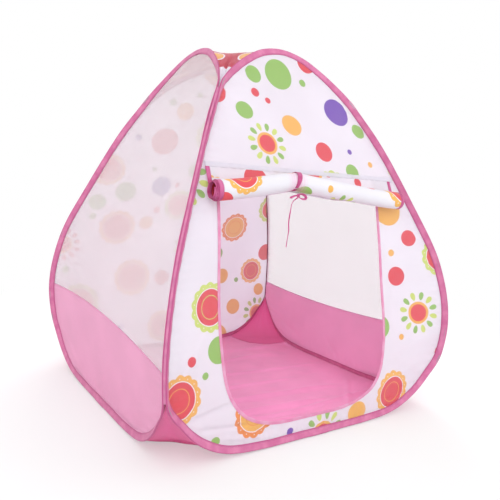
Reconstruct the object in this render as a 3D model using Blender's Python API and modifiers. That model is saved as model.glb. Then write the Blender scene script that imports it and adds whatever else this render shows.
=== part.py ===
"""Kids' pop-up play tent: four sprung wire hoops in folded binding tape, four cloth walls, a floor with
corner gussets, a roof cap and a doorway whose flap is rolled up and tied. Metres, +Z up. The front wall
faces -Y, the left wall -X. The origin is the middle of the floor, on the ground."""
import math

import bmesh
import bpy
from mathutils import Vector

for old in list(bpy.data.objects):
    bpy.data.objects.remove(old, do_unlink=True)

# Driving sizes of the frame
HOOP_HEIGHT = 0.920
HOOP_WIDTH = 0.842
WIRE_RADIUS = 0.0011
CRIMP_WALL = 0.0005
CRIMP_LENGTH = 0.036
TAPE = 0.0008
TAPE_WIDTH = 0.015
CLOTH = 0.0010
GAP = 0.0003
FOLD_GAP = 0.0006
OVERRUN = 0.020
WELD = 0.00001
# The channel's inside against the crimp's outside, and where its crown starts
CHANNEL_EASE_SHARE = 1.20
CROWN_SHARE = 0.33

# How a wall leans: share of the height, and share of the half width that the wall stands out from the middle
WALL_SHARES = [(0.0, 0.940), (0.12, 0.975), (0.23, 1.0), (0.31, 0.992), (0.40, 0.957), (0.48, 0.906),
               (0.59, 0.806), (0.68, 0.722), (0.78, 0.622), (0.86, 0.522), (0.93, 0.442), (1.0, 0.370)]
# A hoop's rounded corner and rounded top: share of the half width across, and share of the height
CORNER_SHARES = [(0.0, 0.0), (0.33, 0.0), (0.585, 0.010), (0.755, 0.044), (0.880, 0.098)]
TOP_SHARES = [(0.455, 0.893), (0.367, 0.929), (0.270, 0.960), (0.150, 0.988), (0.0, 1.0)]
JOINED_SHARES = [0.165, 0.30, 0.43, 0.57, 0.71, 0.855]
# Stations along the bottom, the corner, the joined side and the top of half a hoop
STATION_COUNTS = [3, 6, 7, 6]
# How far the tape is turned in from its wall: fully where two tapes are sewn face to face on a corner, and
# as a share of that along the bottom, and from the join up to the top
FULL_TURN = math.radians(45)
BOTTOM_TURN_SHARE = 0.5
TOP_TURN_SHARES = [0.80, 0.60, 0.40, 0.20, 0.06, 0.0]

# Sizes of the walls
WALL_HOLLOW = 0.012
SEAM_TAPE_WIDTH = 0.007
LEFT_SEAM_HEIGHTS = (0.242, 0.240, 0.198)
RIGHT_SEAM_HEIGHTS = (0.213, 0.193, 0.213)
ROOF_SAG = 0.045
ROOF_RING_SHARES = (0.28, 0.64)
ROOF_STEEP_POWER = 3
FLOOR_RING_SHARES = (0.955, 0.5)
CORNER_CORD_RADIUS = 0.0012
GUSSET_TUCK_SHARE = 0.16
GUSSET_COLUMNS = 6

# Doorway, in the front wall: its place and size as shares of the hoop's half width and height
DOOR_CENTRE_SHARE = -0.0618
DOOR_HALF_SHARE = 0.5772
DOOR_TOP_SHARE = 0.6598
DOOR_SILL_SHARE = 0.0609
DOOR_TAPE_WIDTH = 0.008
DOOR_STEPS = 18
HEADER_HEIGHT = 0.011
# Half of the doorway's outline from the sill up: share of the half width, and share of the door's height
DOOR_SHARES = [(0.0, 0.0), (0.42, 0.004), (0.70, 0.040), (0.87, 0.105), (0.96, 0.20), (1.0, 0.36),
               (1.0, 0.55), (0.985, 0.76), (0.965, 1.0)]

# The door flap, rolled up below its header: how far it and its roll reach past the doorway's sides
FLAP_PAST_LEFT = 0.020
FLAP_PAST_RIGHT = 0.058
FLAP_HEM = 0.010
ROLL_PAST_LEFT = 0.022
ROLL_PAST_RIGHT = 0.045
ROLL_DROP = 0.056
ROLL_RISE = 0.022
ROLL_RADIUS = 0.0225
ROLL_CORE_RADIUS = 0.0160
ROLL_TURNS = 3.5
ROLL_STEPS_PER_TURN = 12
UNROLLED_PAST_SILL = 0.014
ROLL_CLEARANCE = 0.0050
# Stations of the roll from the tie out to either end
ROLL_PLACE_SHARES = (0.0, 0.12, 0.5, 1.0)
ROLL_ARCH_SHARE_POWER = 1.25

# The ribbon that ties the roll
TIE_OFF_CENTRE = -0.052
RIBBON_WIDTH = 0.0135
RIBBON = 0.0008
KNOT_RADIUS = 0.0042
KNOT_ANGLE = math.radians(105)
RIBBON_STOP_ANGLE = math.radians(1)
BOW_LENGTH = 0.021
BOW_RADIUS = 0.0011
BOW_SLIM_SHARE = 0.22
BOW_DROOP_SHARE = 0.25
SHORT_END_LENGTH = 0.024
SHORT_END_DROOP = 0.0066
TAIL_RADIUS = 0.0016
# Points that the hanging tail runs through, measured from the middle of the knot
TAIL_ROUTE = [(-0.0020, -0.0019, -0.0046), (-0.0080, -0.0028, -0.0076), (-0.0150, -0.0033, -0.0123),
              (-0.0198, -0.0033, -0.0198), (-0.0212, -0.0028, -0.0308), (-0.0235, -0.0023, -0.0491),
              (-0.0245, -0.0023, -0.0638), (-0.0230, -0.0023, -0.0790), (-0.0255, -0.0023, -0.0986),
              (-0.0275, -0.0023, -0.1156)]
TAIL_POINTS = 24

HALF_WIDTH = HOOP_WIDTH / 2
DOOR_CENTRE = HALF_WIDTH * DOOR_CENTRE_SHARE
DOOR_HALF_WIDTH = HALF_WIDTH * DOOR_HALF_SHARE
DOOR_TOP = HOOP_HEIGHT * DOOR_TOP_SHARE
DOOR_SILL = HOOP_HEIGHT * DOOR_SILL_SHARE
FLAP_LEFT = DOOR_CENTRE - DOOR_HALF_WIDTH - FLAP_PAST_LEFT
FLAP_RIGHT = DOOR_CENTRE + DOOR_HALF_WIDTH + FLAP_PAST_RIGHT
ROLL_LEFT = DOOR_CENTRE - DOOR_HALF_WIDTH - ROLL_PAST_LEFT
ROLL_RIGHT = DOOR_CENTRE + DOOR_HALF_WIDTH + ROLL_PAST_RIGHT
ROLL_HEIGHT = DOOR_TOP - ROLL_DROP
UNROLLED_HEIGHT = DOOR_SILL + UNROLLED_PAST_SILL
TIE_PLACE = DOOR_CENTRE + TIE_OFF_CENTRE
CHANNEL_RADIUS = WIRE_RADIUS + GAP + CRIMP_WALL + GAP
SLEEVE_RADIUS = CHANNEL_RADIUS * CHANNEL_EASE_SHARE + TAPE
WIRE_BASE = SLEEVE_RADIUS + GAP
SLOT = CLOTH / 2 + FOLD_GAP
CORNER_OFFSET = math.sqrt(2) * (SLEEVE_RADIUS + GAP / 2)
CLOTH_INSET = SLEEVE_RADIUS + GAP
INSIDE = SLEEVE_RADIUS + GAP + CLOTH / 2
FLAP_LAYER = SLOT + TAPE + GAP + CLOTH / 2
SIDE_TURNS = {"front": 0.0, "left": -math.pi / 2, "back": math.pi, "right": math.pi / 2}

collection = bpy.data.collections.new("pop_up_play_tent")
bpy.context.scene.collection.children.link(collection)
cutters = bpy.data.collections.new("cutters")
bpy.context.scene.collection.children.link(cutters)


def material(name, colour, roughness, metallic=0.0, alpha=1.0):
    made = bpy.data.materials.new(name)
    made.use_nodes = True
    shader = made.node_tree.nodes["Principled BSDF"]
    shader.inputs["Base Color"].default_value = (*colour, 1.0)
    shader.inputs["Roughness"].default_value = roughness
    shader.inputs["Metallic"].default_value = metallic
    shader.inputs["Alpha"].default_value = alpha
    made.diffuse_color = (*colour, alpha)
    return made


STEEL = material("spring_steel", (0.42, 0.43, 0.45), 0.35, 1.0)
PINK_TAPE = material("pink_tape", (0.74, 0.16, 0.38), 0.75)
PINK_CLOTH = material("pink_cloth", (0.80, 0.28, 0.52), 0.70)
PRINTED = material("printed_cloth", (0.88, 0.85, 0.90), 0.75)
GAUZE = material("white_gauze", (0.90, 0.88, 0.92), 0.80, 0.0, 0.75)
ROOF_PRINT = material("roof_print", (0.80, 0.10, 0.12), 0.75)


def smooth_at(knots, where):
    """The height at one place of a smooth curve through (place, height) knots."""
    last = len(knots) - 2
    cell = 0
    while cell < last and where > knots[cell + 1][0]:
        cell += 1
    (x0, y0), (x1, y1) = knots[cell], knots[cell + 1]
    before = knots[max(cell - 1, 0)]
    after = knots[min(cell + 2, len(knots) - 1)]
    slope0 = (y1 - before[1]) / (x1 - before[0])
    slope1 = (after[1] - y0) / (after[0] - x0)
    step = x1 - x0
    t = (where - x0) / step
    rise = y0 * (2 * t ** 3 - 3 * t ** 2 + 1) + y1 * (3 * t ** 2 - 2 * t ** 3)
    return rise + step * (slope0 * (t ** 3 - 2 * t ** 2 + t) + slope1 * (t ** 3 - t ** 2))


def reach(height):
    """How far the wall stands out from the middle of the tent at a height above the ground."""
    if WALL_LINE:
        return straight_at(WALL_LINE, height)
    return HALF_WIDTH * smooth_at(WALL_SHARES, (height - WIRE_BASE) / HOOP_HEIGHT)


def straight_at(knots, where):
    """The height of a line of straight pieces through (place, height) knots."""
    cell = 0
    while cell < len(knots) - 2 and where > knots[cell + 1][0]:
        cell += 1
    (x0, y0), (x1, y1) = knots[cell], knots[cell + 1]
    return y0 + (y1 - y0) * (where - x0) / (x1 - x0)


def wall_point(across, height, hollow=0.0, lift=0.0):
    """A point of the front wall. The hollow draws its middle in, and lift moves it out along the normal."""
    share = min(max((height - WIRE_BASE) / HOOP_HEIGHT, 0.0), 1.0)
    sunk = 0.0
    if hollow:
        beside_middle = min(abs(across) / straight_at(SPAN_LINE, height), 1.0)
        sunk = hollow * straight_at(HOLLOW_SHARES, beside_middle) * 4 * share * (1 - share)
    return Vector((across, sunk - reach(height), height)) + wall_normal(height) * lift


def wall_normal(height):
    probe = HOOP_HEIGHT / 60
    middle = min(max(height, WIRE_BASE + probe), WIRE_BASE + HOOP_HEIGHT - probe)
    slope = (reach(middle + probe) - reach(middle - probe)) / (2 * probe)
    return Vector((0, -1, -slope)).normalized()


def curve_through(points, counts):
    """A smooth line through points, with so many steps between each pair."""
    line = []
    for i in range(len(points) - 1):
        p1, p2 = points[i], points[i + 1]
        p0 = points[i - 1] if i else p1 * 2 - p2
        p3 = points[i + 2] if i + 2 < len(points) else p2 * 2 - p1
        for k in range(counts):
            t = k / counts
            line.append(((p1 * 2) + (p2 - p0) * t + (p0 * 2 - p1 * 5 + p2 * 4 - p3) * t ** 2
                         + (p1 * 3 - p0 - p2 * 3 + p3) * t ** 3) / 2)
    line.append(points[-1].copy())
    return line


def along(line, count):
    """Count + 1 points at equal steps along a line of points."""
    travelled = [0.0]
    for a, b in zip(line, line[1:]):
        travelled.append(travelled[-1] + (b - a).length)
    picked = []
    cell = 0
    for k in range(count + 1):
        goal = travelled[-1] * k / count
        while cell < len(line) - 2 and travelled[cell + 1] < goal:
            cell += 1
        step = travelled[cell + 1] - travelled[cell]
        picked.append(line[cell].lerp(line[cell + 1], (goal - travelled[cell]) / step))
    return picked


# The wall and the cloth's half width from the ground up, as (height, size), filled in from the hoop
WALL_LINE = []
SPAN_LINE = []
# How much of the hollow is left from the middle of a wall to its edge, column by column of the cloth
HALF_COLUMNS = STATION_COUNTS[0]
HOLLOW_SHARES = [(k / HALF_COLUMNS, 1 - (k / HALF_COLUMNS) ** 2) for k in range(HALF_COLUMNS + 1)]


def joined_place(height):
    """Where a hoop's side runs while sewn to the next hoop: the two stand side by side on the corner."""
    return Vector((reach(height) - CORNER_OFFSET, 0, height))


def half_hoop():
    """Half of a hoop's centre line in the front wall, from the middle of the bottom up to the top."""
    def flat(share):
        return Vector((share[0] * HALF_WIDTH, 0, WIRE_BASE + share[1] * HOOP_HEIGHT))

    corner = [flat(share) for share in CORNER_SHARES]
    top = [flat(share) for share in TOP_SHARES]
    side = [joined_place(WIRE_BASE + share * HOOP_HEIGHT) for share in JOINED_SHARES]
    knots = corner + side + top
    beyond = Vector((-top[-2].x, 0, top[-2].z))
    fine = curve_through(knots + [beyond], 12)[:(len(knots) - 1) * 12 + 1]
    first, second = 2 * 12, len(corner) * 12
    third = (len(corner) + len(side) - 1) * 12
    parts = [fine[:first + 1], fine[first:second + 1], fine[second:third + 1], fine[third:]]
    line = []
    for part, count in zip(parts, STATION_COUNTS):
        line += along(part, count)[:-1]
    line.append(top[-1])
    for point in line:
        point.z = max(point.z, WIRE_BASE)
        point.x = min(point.x, reach(point.z) - CORNER_OFFSET) if point.z < line[-1].z else 0.0
    return [wall_point(point.x, point.z) for point in line]


HALF_LINE = half_hoop()
LOW_JOIN = STATION_COUNTS[0] + STATION_COUNTS[1]
HIGH_JOIN = LOW_JOIN + STATION_COUNTS[2]


def mirrored(line):
    return [Vector((-p.x, p.y, p.z)) for p in line]


HOOP = HALF_LINE + mirrored(HALF_LINE[1:-1])[::-1]


def frames(line, closed):
    """At each station of a line in the front wall: the point, the outline's way out, the wall's normal."""
    found = []
    count = len(line)
    middle = sum(line, Vector()) / count
    for i, point in enumerate(line):
        ahead = line[(i + 1) % count] if closed or i + 1 < count else point
        behind = line[i - 1] if closed or i else point
        tangent = (ahead - behind).normalized()
        outward = wall_normal(point.z).cross(tangent).normalized()
        if outward.dot(point - middle) < 0:
            outward.negate()
        normal = tangent.cross(outward).normalized()
        if normal.y > 0:
            normal.negate()
        found.append((point, outward, normal))
    return found


def turn_at(station):
    """How far the tape is turned in at a station of half a hoop, above its join or below it."""
    if station > HIGH_JOIN:
        return FULL_TURN * TOP_TURN_SHARES[station - HIGH_JOIN - 1]
    climb = max((station - STATION_COUNTS[0]) / (LOW_JOIN - 1 - STATION_COUNTS[0]), 0.0)
    return FULL_TURN * (BOTTOM_TURN_SHARE + (1 - BOTTOM_TURN_SHARE) * climb)


def turned_in(stations):
    """The hoop's frames with the tape turned in from its wall, facing its neighbour's on a corner."""
    found = []
    for index, (point, out, normal) in enumerate(stations):
        station = min(index, len(HOOP) - index)
        if LOW_JOIN - 1 <= station <= HIGH_JOIN:
            across_corner = Vector((1, 1 if point.x > 0 else -1, 0))
            face = out.cross(normal).cross(across_corner).normalized()
            turn = math.atan2(abs(face.dot(normal)), abs(face.dot(out)))
        else:
            turn = turn_at(station)
        found.append((point, out * math.cos(turn) + normal * math.sin(turn),
                      normal * math.cos(turn) - out * math.sin(turn)))
    return found


HOOP_FRAMES = turned_in(frames(HOOP, True))
# The cloth's edge in the slot of the tape, and the line just past the tape's legs
EDGE = [p - out * CLOTH_INSET for p, out, normal in HOOP_FRAMES]
PAST = [p - out * (TAPE_WIDTH + CLOTH) for p, out, normal in HOOP_FRAMES]
TOP = len(HALF_LINE) - 1
WALL_LINE += [(PAST[i].z, -PAST[i].y) for i in [0] + list(range(STATION_COUNTS[0], TOP + 1))]
SPAN_LINE += [(PAST[i].z, PAST[i].x) for i in range(STATION_COUNTS[0], TOP)]


def finish(obj, look, side="front"):
    obj.data.materials.append(look)
    obj.rotation_euler.z = SIDE_TURNS[side]
    collection.objects.link(obj)
    return obj


def mesh_object(name, build, look, side="front", smooth=True):
    """A new object whose mesh is filled by build(bm)."""
    mesh = bpy.data.meshes.new(name)
    bm = bmesh.new()
    build(bm)
    bmesh.ops.recalc_face_normals(bm, faces=bm.faces)
    bm.to_mesh(mesh)
    bm.free()
    if smooth:
        mesh.shade_smooth()
        mesh.set_sharp_from_angle(angle=math.radians(40))
    return finish(bpy.data.objects.new(name, mesh), look, side)


def copy_object(source, name, side):
    made = bpy.data.objects.new(name, source.data)
    made.rotation_euler.z = SIDE_TURNS[side]
    collection.objects.link(made)
    for modifier in source.modifiers:
        if modifier.type == "SOLIDIFY":
            solidify(made, modifier.thickness)
    return made


def solidify(obj, thickness):
    shell = obj.modifiers.new("thickness", "SOLIDIFY")
    shell.thickness = thickness
    shell.offset = 0.0
    return shell


def bridge(bm, rows, closed):
    """Faces between neighbouring rows of vertices."""
    for low, high in zip(rows, rows[1:]):
        count = len(low)
        for i in range(count if closed else count - 1):
            j = (i + 1) % count
            bm.faces.new((low[i], low[j], high[j], high[i]))


def sheet(name, rows, look, closed=False, centre=None, thickness=CLOTH, side="front"):
    """A cloth through rows of points, open or in rings, and a centre point may close the last ring."""
    def build(bm):
        made = [[bm.verts.new(p) for p in row] for row in rows]
        bridge(bm, made, closed)
        if centre is not None:
            tip = bm.verts.new(centre)
            last = made[-1]
            for i, vert in enumerate(last):
                bm.faces.new((vert, last[(i + 1) % len(last)], tip))

    made = mesh_object(name, build, look, side)
    solidify(made, thickness)
    return made


def sweep(name, section, stations, closed, look, side="front"):
    """A tape of one section, given as (outward, normal) pairs, carried along the stations of an outline."""
    def build(bm):
        rows = [[bm.verts.new(p + out * b + normal * n) for b, n in section] for p, out, normal in stations]
        if closed:
            rows.append(rows[0])
        for low, high in zip(rows, rows[1:]):
            if closed and low[0].co.z > high[0].co.z:
                low, high = high, low
            split_bridge(bm, low, high, section)
        if not closed:
            bm.faces.new(rows[0])
            bm.faces.new(rows[-1])

    return mesh_object(name, build, look, side)


def split_bridge(bm, low, high, section):
    """Triangles between two stations of a tape, split one way, so its legs and the cloth twist alike."""
    for i, (reached, _) in enumerate(section):
        j = (i + 1) % len(section)
        near, far = (i, j) if reached > section[j][0] else (j, i)
        bm.faces.new((low[near], high[near], high[far]))
        bm.faces.new((low[near], high[far], low[far]))


def tube(name, points, radius, look, cyclic=False, resolution=1, side="front"):
    curve = bpy.data.curves.new(name, "CURVE")
    curve.dimensions = "3D"
    curve.bevel_depth = radius
    curve.bevel_resolution = resolution
    curve.use_fill_caps = not cyclic
    spline = curve.splines.new("POLY")
    spline.points.add(len(points) - 1)
    for target, point in zip(spline.points, points):
        target.co = (*point, 1.0)
    spline.use_cyclic_u = cyclic
    return finish(bpy.data.objects.new(name, curve), look, side)


def binding_section():
    """A folded tape: a channel round the wire and its crimp, and two legs with the cloth between them."""
    wide = CHANNEL_RADIUS * CHANNEL_EASE_SHARE
    crown = CHANNEL_RADIUS * CROWN_SHARE
    outer = SLEEVE_RADIUS
    half = [(-TAPE_WIDTH, SLOT), (-TAPE_WIDTH, SLOT + TAPE), (-outer, SLOT + TAPE), (crown, outer)]
    inner = [(crown, wide), (-outer + TAPE / 2, SLOT)]
    nose = [(outer, 0.0)]
    section = half + nose + [(b, -n) for b, n in reversed(half)]
    return section + [(b, -n) for b, n in reversed(inner)] + [(wide, 0.0)] + inner


def make_hoops():
    section = binding_section()
    first_wire = tube("front_wire", HOOP, WIRE_RADIUS, STEEL, cyclic=True)
    first_tape = sweep("front_binding", section, HOOP_FRAMES, True, PINK_TAPE)
    for side in ("left", "back", "right"):
        copy_object(first_wire, side + "_wire", side)
        copy_object(first_tape, side + "_binding", side)
    for side in SIDE_TURNS:
        bpy.ops.mesh.primitive_cylinder_add(vertices=12, radius=WIRE_RADIUS + GAP, depth=CRIMP_LENGTH,
                                            end_fill_type="NOTHING")
        crimp = bpy.context.object
        crimp.name = side + "_wire_crimp"
        turn = SIDE_TURNS[side]
        low = HOOP[0]
        crimp.rotation_euler = (0, math.pi / 2, turn)
        crimp.location = (-low.y * math.sin(turn), low.y * math.cos(turn), low.z)
        shell = solidify(crimp, CRIMP_WALL)
        shell.offset = 1.0
        crimp.data.materials.append(STEEL)
        crimp.data.shade_smooth()
        crimp.data.set_sharp_from_angle(angle=math.radians(40))
        for holder in list(crimp.users_collection):
            holder.objects.unlink(crimp)
        collection.objects.link(crimp)


def wall_cloth(name, hollow, look, side="front"):
    """A wall's cloth, held by its edge in the tape's slot, in level rows between the sides of its hoop."""
    low = HALF_COLUMNS

    def build(bm):
        edge = [bm.verts.new(p) for p in EDGE]
        past = [bm.verts.new(p) for p in PAST]
        for k in range(-low, low):
            bm.faces.new((edge[k], edge[k + 1], past[k + 1], past[k]))
        row = [edge[-low]] + [past[k] for k in range(-low, low + 1)] + [edge[low]]
        for i in range(low + 1, TOP):
            b = PAST[i]
            inner = []
            for k in range(1 - low, low):
                inner.append(bm.verts.new(wall_point(b.x * k / low, b.z, hollow)))
            above = [edge[-i], past[-i]] + inner + [past[i], edge[i]]
            bridge(bm, [row[1:-1], above[1:-1]], False)
            for below_edge, below, past_edge, beside_edge in ((row[0], row[1], above[0], above[1]),
                                                              (row[-1], row[-2], above[-1], above[-2])):
                bm.faces.new((below_edge, past_edge, beside_edge))
                bm.faces.new((below_edge, beside_edge, below))
            row = above
        for below_edge, below in ((row[0], row[1]), (row[-1], row[-2])):
            bm.faces.new((below_edge, edge[TOP], past[TOP]))
            bm.faces.new((below_edge, past[TOP], below))
        for left, right in zip(row[1:-2], row[2:-1]):
            bm.faces.new((left, right, past[TOP]))

    made = mesh_object(name, build, look, side)
    solidify(made, CLOTH)
    return made


def seam_height(heights, across):
    """A seam's height, from its heights at the left end, the middle and the right end of the wall."""
    low, mid, high = heights
    share = across / HALF_WIDTH
    return mid + (high - low) / 2 * share + ((low + high) / 2 - mid) * share ** 2


def wall_cutter(name, outline, side="front"):
    """A block with an outline of (across, height) points that runs right through one wall."""
    depth = HALF_WIDTH + OVERRUN

    def build(bm):
        face = bm.faces.new([bm.verts.new((x, -depth, z)) for x, z in outline])
        grown = bmesh.ops.extrude_face_region(bm, geom=[face])
        moved = [v for v in grown["geom"] if isinstance(v, bmesh.types.BMVert)]
        bmesh.ops.translate(bm, verts=moved, vec=(0, depth, 0))

    cutter = mesh_object(name, build, PINK_CLOTH, side, smooth=False)
    collection.objects.unlink(cutter)
    cutters.objects.link(cutter)
    cutter.hide_render = True
    cutter.display_type = "WIRE"
    return cutter


def below_seam(heights, drop):
    """The outline of everything below a wall's seam, with no corner on the cloth's middle column."""
    steps = 13
    span = HALF_WIDTH + OVERRUN
    places = [span * (2 * i / steps - 1) for i in range(steps + 1)]
    return [(x, seam_height(heights, x) - drop) for x in places] + [(span, -OVERRUN), (-span, -OVERRUN)]


def cut(obj, cutter, operation):
    change = obj.modifiers.new("seam", "BOOLEAN")
    change.operation = operation
    change.object = cutter
    change.solver = "EXACT"


def make_plain_walls():
    """The back wall, and the two side walls, each cut along its seam into gauze above and skirt below."""
    wall_cloth("back_cloth", WALL_HOLLOW, PRINTED, "back")
    for side, heights in (("left", LEFT_SEAM_HEIGHTS), ("right", RIGHT_SEAM_HEIGHTS)):
        gauze = wall_cloth(side + "_gauze", WALL_HOLLOW, GAUZE, side)
        skirt = wall_cloth(side + "_skirt", WALL_HOLLOW, PINK_CLOTH, side)
        cut(gauze, wall_cutter(side + "_gauze_cutter", below_seam(heights, 0.0), side), "DIFFERENCE")
        cut(skirt, wall_cutter(side + "_skirt_cutter", below_seam(heights, GAP), side), "INTERSECT")
        make_seam_tape(side, heights)


def make_seam_tape(side, heights):
    """A narrow tape that covers the seam on the outside, from binding to binding."""
    steps = 2 * HALF_COLUMNS
    rows = []
    for edge in (-SEAM_TAPE_WIDTH / 2, SEAM_TAPE_WIDTH / 2):
        row = []
        for i in range(-steps, steps + 1):
            share = i / steps
            middle = seam_height(heights, share * HALF_WIDTH)
            across = share * (straight_at(SPAN_LINE, middle) - CLOTH)
            height = seam_height(heights, across) + edge
            row.append(wall_point(across, height, WALL_HOLLOW, SLOT + TAPE / 2))
        rows.append(row)
    sheet(side + "_seam_tape", rows, PINK_TAPE, thickness=TAPE, side=side)


def door_side():
    """The doorway's edge from the middle of the sill round and up the side, with a point on each row."""
    height = DOOR_TOP - DOOR_SILL
    knots = [Vector((x * DOOR_HALF_WIDTH, 0, DOOR_SILL + z * height)) for x, z in DOOR_SHARES]
    fine = curve_through(knots, 8)
    line = along(fine, DOOR_STEPS)
    for row, out in WALL_LINE:
        for a, b in zip(fine, fine[1:]):
            if a.z < row <= b.z:
                crossing = a.lerp(b, (row - a.z) / (b.z - a.z))
                nearest = min(range(1, DOOR_STEPS), key=lambda i: (line[i] - crossing).length)
                line[nearest] = crossing
    return line


def make_front_cloth():
    """The front wall, cut out for the doorway."""
    right = door_side()
    loop = right + mirrored(right[1:])[::-1]
    front = wall_cloth("front_cloth", 0.0, PRINTED)
    cut(front, wall_cutter("doorway_cutter", [(p.x + DOOR_CENTRE, p.z) for p in loop]), "DIFFERENCE")


def make_door_binding():
    """A tape folded over the doorway's edge, from the header down one side, along the sill and up again."""
    half = door_side()
    half[-1] = half[-1] + (half[-2] - half[-1]).normalized() * 2 * CLOTH
    line = mirrored(half[1:])[::-1] + half
    line = [wall_point(p.x + DOOR_CENTRE, p.z) for p in line]
    stations = []
    for point, outward, normal in frames(line, False):
        stations.append((point, -outward, normal))
    low = GAP
    section = [(-DOOR_TAPE_WIDTH, SLOT), (-DOOR_TAPE_WIDTH, SLOT + TAPE), (low + TAPE, SLOT + TAPE),
               (low + TAPE, -SLOT - TAPE), (-DOOR_TAPE_WIDTH, -SLOT - TAPE), (-DOOR_TAPE_WIDTH, -SLOT),
               (low, -SLOT), (low, SLOT)]
    sweep("door_binding", section, stations, False, PINK_TAPE)


def beside(name, outline, left, right, look):
    """A solid with one outline of (out from the middle, height) that runs level across the front wall."""
    curve = bpy.data.curves.new(name, "CURVE")
    curve.dimensions = "2D"
    curve.fill_mode = "BOTH"
    curve.extrude = (right - left) / 2
    spline = curve.splines.new("POLY")
    spline.points.add(len(outline) - 1)
    for target, (out, height) in zip(spline.points, outline):
        target.co = (-out, height, 0, 1)
    spline.use_cyclic_u = True
    made = finish(bpy.data.objects.new(name, curve), look)
    made.rotation_euler = (math.pi / 2, 0, math.pi / 2)
    made.location.x = (left + right) / 2
    return made


def wall_layer(low, high, inner, outer, steps):
    """An outline that follows the front wall between two heights, at two distances outside it."""
    outline = []
    for k in range(steps + 1):
        p = wall_point(0, low + (high - low) * k / steps, lift=outer)
        outline.append((-p.y, p.z))
    for k in range(steps, -1, -1):
        p = wall_point(0, low + (high - low) * k / steps, lift=inner)
        outline.append((-p.y, p.z))
    return outline


def thick_line(points, thickness):
    """The outline of a thin strip along a line of (out, height) points."""
    left, right = [], []
    for i, point in enumerate(points):
        ahead = points[min(i + 1, len(points) - 1)]
        behind = points[max(i - 1, 0)]
        run = Vector((ahead[0] - behind[0], ahead[1] - behind[1])).normalized()
        push = Vector((-run.y, run.x)) * thickness / 2
        left.append((point[0] + push.x, point[1] + push.y))
        right.append((point[0] - push.x, point[1] - push.y))
    return left + right[::-1]


FLAP_TOP = DOOR_TOP + CLOTH - GAP


def roll_height(place):
    """Where the roll leaves the wall: the ribbon pulls it up, and it droops from there to both ends."""
    end = ROLL_LEFT if place < TIE_PLACE else ROLL_RIGHT
    away = min((place - TIE_PLACE) / (end - TIE_PLACE), 1.0)
    return ROLL_HEIGHT + ROLL_RISE * (1 - away) ** ROLL_ARCH_SHARE_POWER


def roll_places(start, end):
    """The stations across the wall between two ends, with one at each share of the way from the tie."""
    found = [start, end]
    for limit in (ROLL_LEFT, ROLL_RIGHT):
        for share in ROLL_PLACE_SHARES:
            place = TIE_PLACE + (limit - TIE_PLACE) * share
            if start < place < end and min(abs(place - other) for other in found) > FLAP_HEM / 2:
                found.append(place)
    return sorted(found)


def roll_centre(height):
    return wall_point(0, height, lift=FLAP_LAYER) + wall_normal(height) * (ROLL_RADIUS - CLOTH / 2)


def roll_point(angle, radius, height):
    """A point round the roll, as (out, height). Angle zero is at the wall and grows downward and outward."""
    normal = wall_normal(height)
    down = Vector((0, -normal.z, normal.y))
    spot = roll_centre(height) - normal * radius * math.cos(angle) + down * radius * math.sin(angle)
    return (-spot.y, spot.z)


def roll_line(height):
    """The rolled cloth seen from its end: a spiral from the wall, under the roll and round to its core."""
    steps = int(ROLL_TURNS * ROLL_STEPS_PER_TURN)
    line = []
    for k in range(steps + 1):
        share = k / steps
        radius = ROLL_RADIUS - CLOTH / 2 - (ROLL_RADIUS - CLOTH / 2 - ROLL_CORE_RADIUS) * share
        line.append(roll_point(2 * math.pi * ROLL_TURNS * share, radius, height))
    return line


def across_wall(name, outline_at, places, look):
    """A solid across the front wall, with an outline of (out, height) points that changes on the way."""
    def build(bm):
        rows = []
        for place in places:
            rows.append([bm.verts.new((place, -out, height)) for out, height in outline_at(place)])
        bridge(bm, rows, True)
        bm.faces.new(rows[0])
        bm.faces.new(rows[-1])

    return mesh_object(name, build, look)


def strip_outline(place):
    """The strip of flap between the header and the roll."""
    return wall_layer(roll_height(place) + GAP, FLAP_TOP, FLAP_LAYER - CLOTH / 2, FLAP_LAYER + CLOTH / 2, 3)


def roll_outline(place):
    return thick_line(roll_line(roll_height(place)), CLOTH)


def make_flap():
    """The header seam, the strip of flap below it, and the roll with its bound ends."""
    header_top = DOOR_TOP + CLOTH + HEADER_HEIGHT
    header = wall_layer(DOOR_TOP + CLOTH, header_top, SLOT, FLAP_LAYER + CLOTH / 2, 2)
    beside("door_header", header, CLOTH - straight_at(SPAN_LINE, header_top), FLAP_RIGHT + FLAP_HEM, PRINTED)
    rows = [("flap_left_hem", "door_flap", "flap_right_hem", strip_outline, FLAP_LEFT, FLAP_RIGHT),
            ("roll_left_hem", "door_roll", "roll_right_hem", roll_outline, ROLL_LEFT, ROLL_RIGHT)]
    for left_hem, middle, right_hem, outline_at, left, right in rows:
        left_seam, right_seam = left + FLAP_HEM, right - FLAP_HEM
        across_wall(left_hem, outline_at, [left, left_seam - GAP / 2], PINK_TAPE)
        across_wall(middle, outline_at, roll_places(left_seam + GAP / 2, right_seam - GAP / 2), PRINTED)
        across_wall(right_hem, outline_at, [right_seam + GAP / 2, right], PINK_TAPE)
    step = (ROLL_RADIUS - CLOTH / 2 - ROLL_CORE_RADIUS) / ROLL_TURNS
    print("least gap between turns of the roll, mm:", round((step - CLOTH) * 1000, 2))


def circle_through(a, b, c):
    """Centre of the circle through three (out, height) points."""
    (ax, ay), (bx, by), (cx, cy) = a, b, c
    d = 2 * (ax * (by - cy) + bx * (cy - ay) + cx * (ay - by))
    sa, sb, sc = ax * ax + ay * ay, bx * bx + by * by, cx * cx + cy * cy
    x = (sa * (by - cy) + sb * (cy - ay) + sc * (ay - by)) / d
    y = (sa * (cx - bx) + sb * (ax - cx) + sc * (bx - ax)) / d
    return x, y


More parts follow.
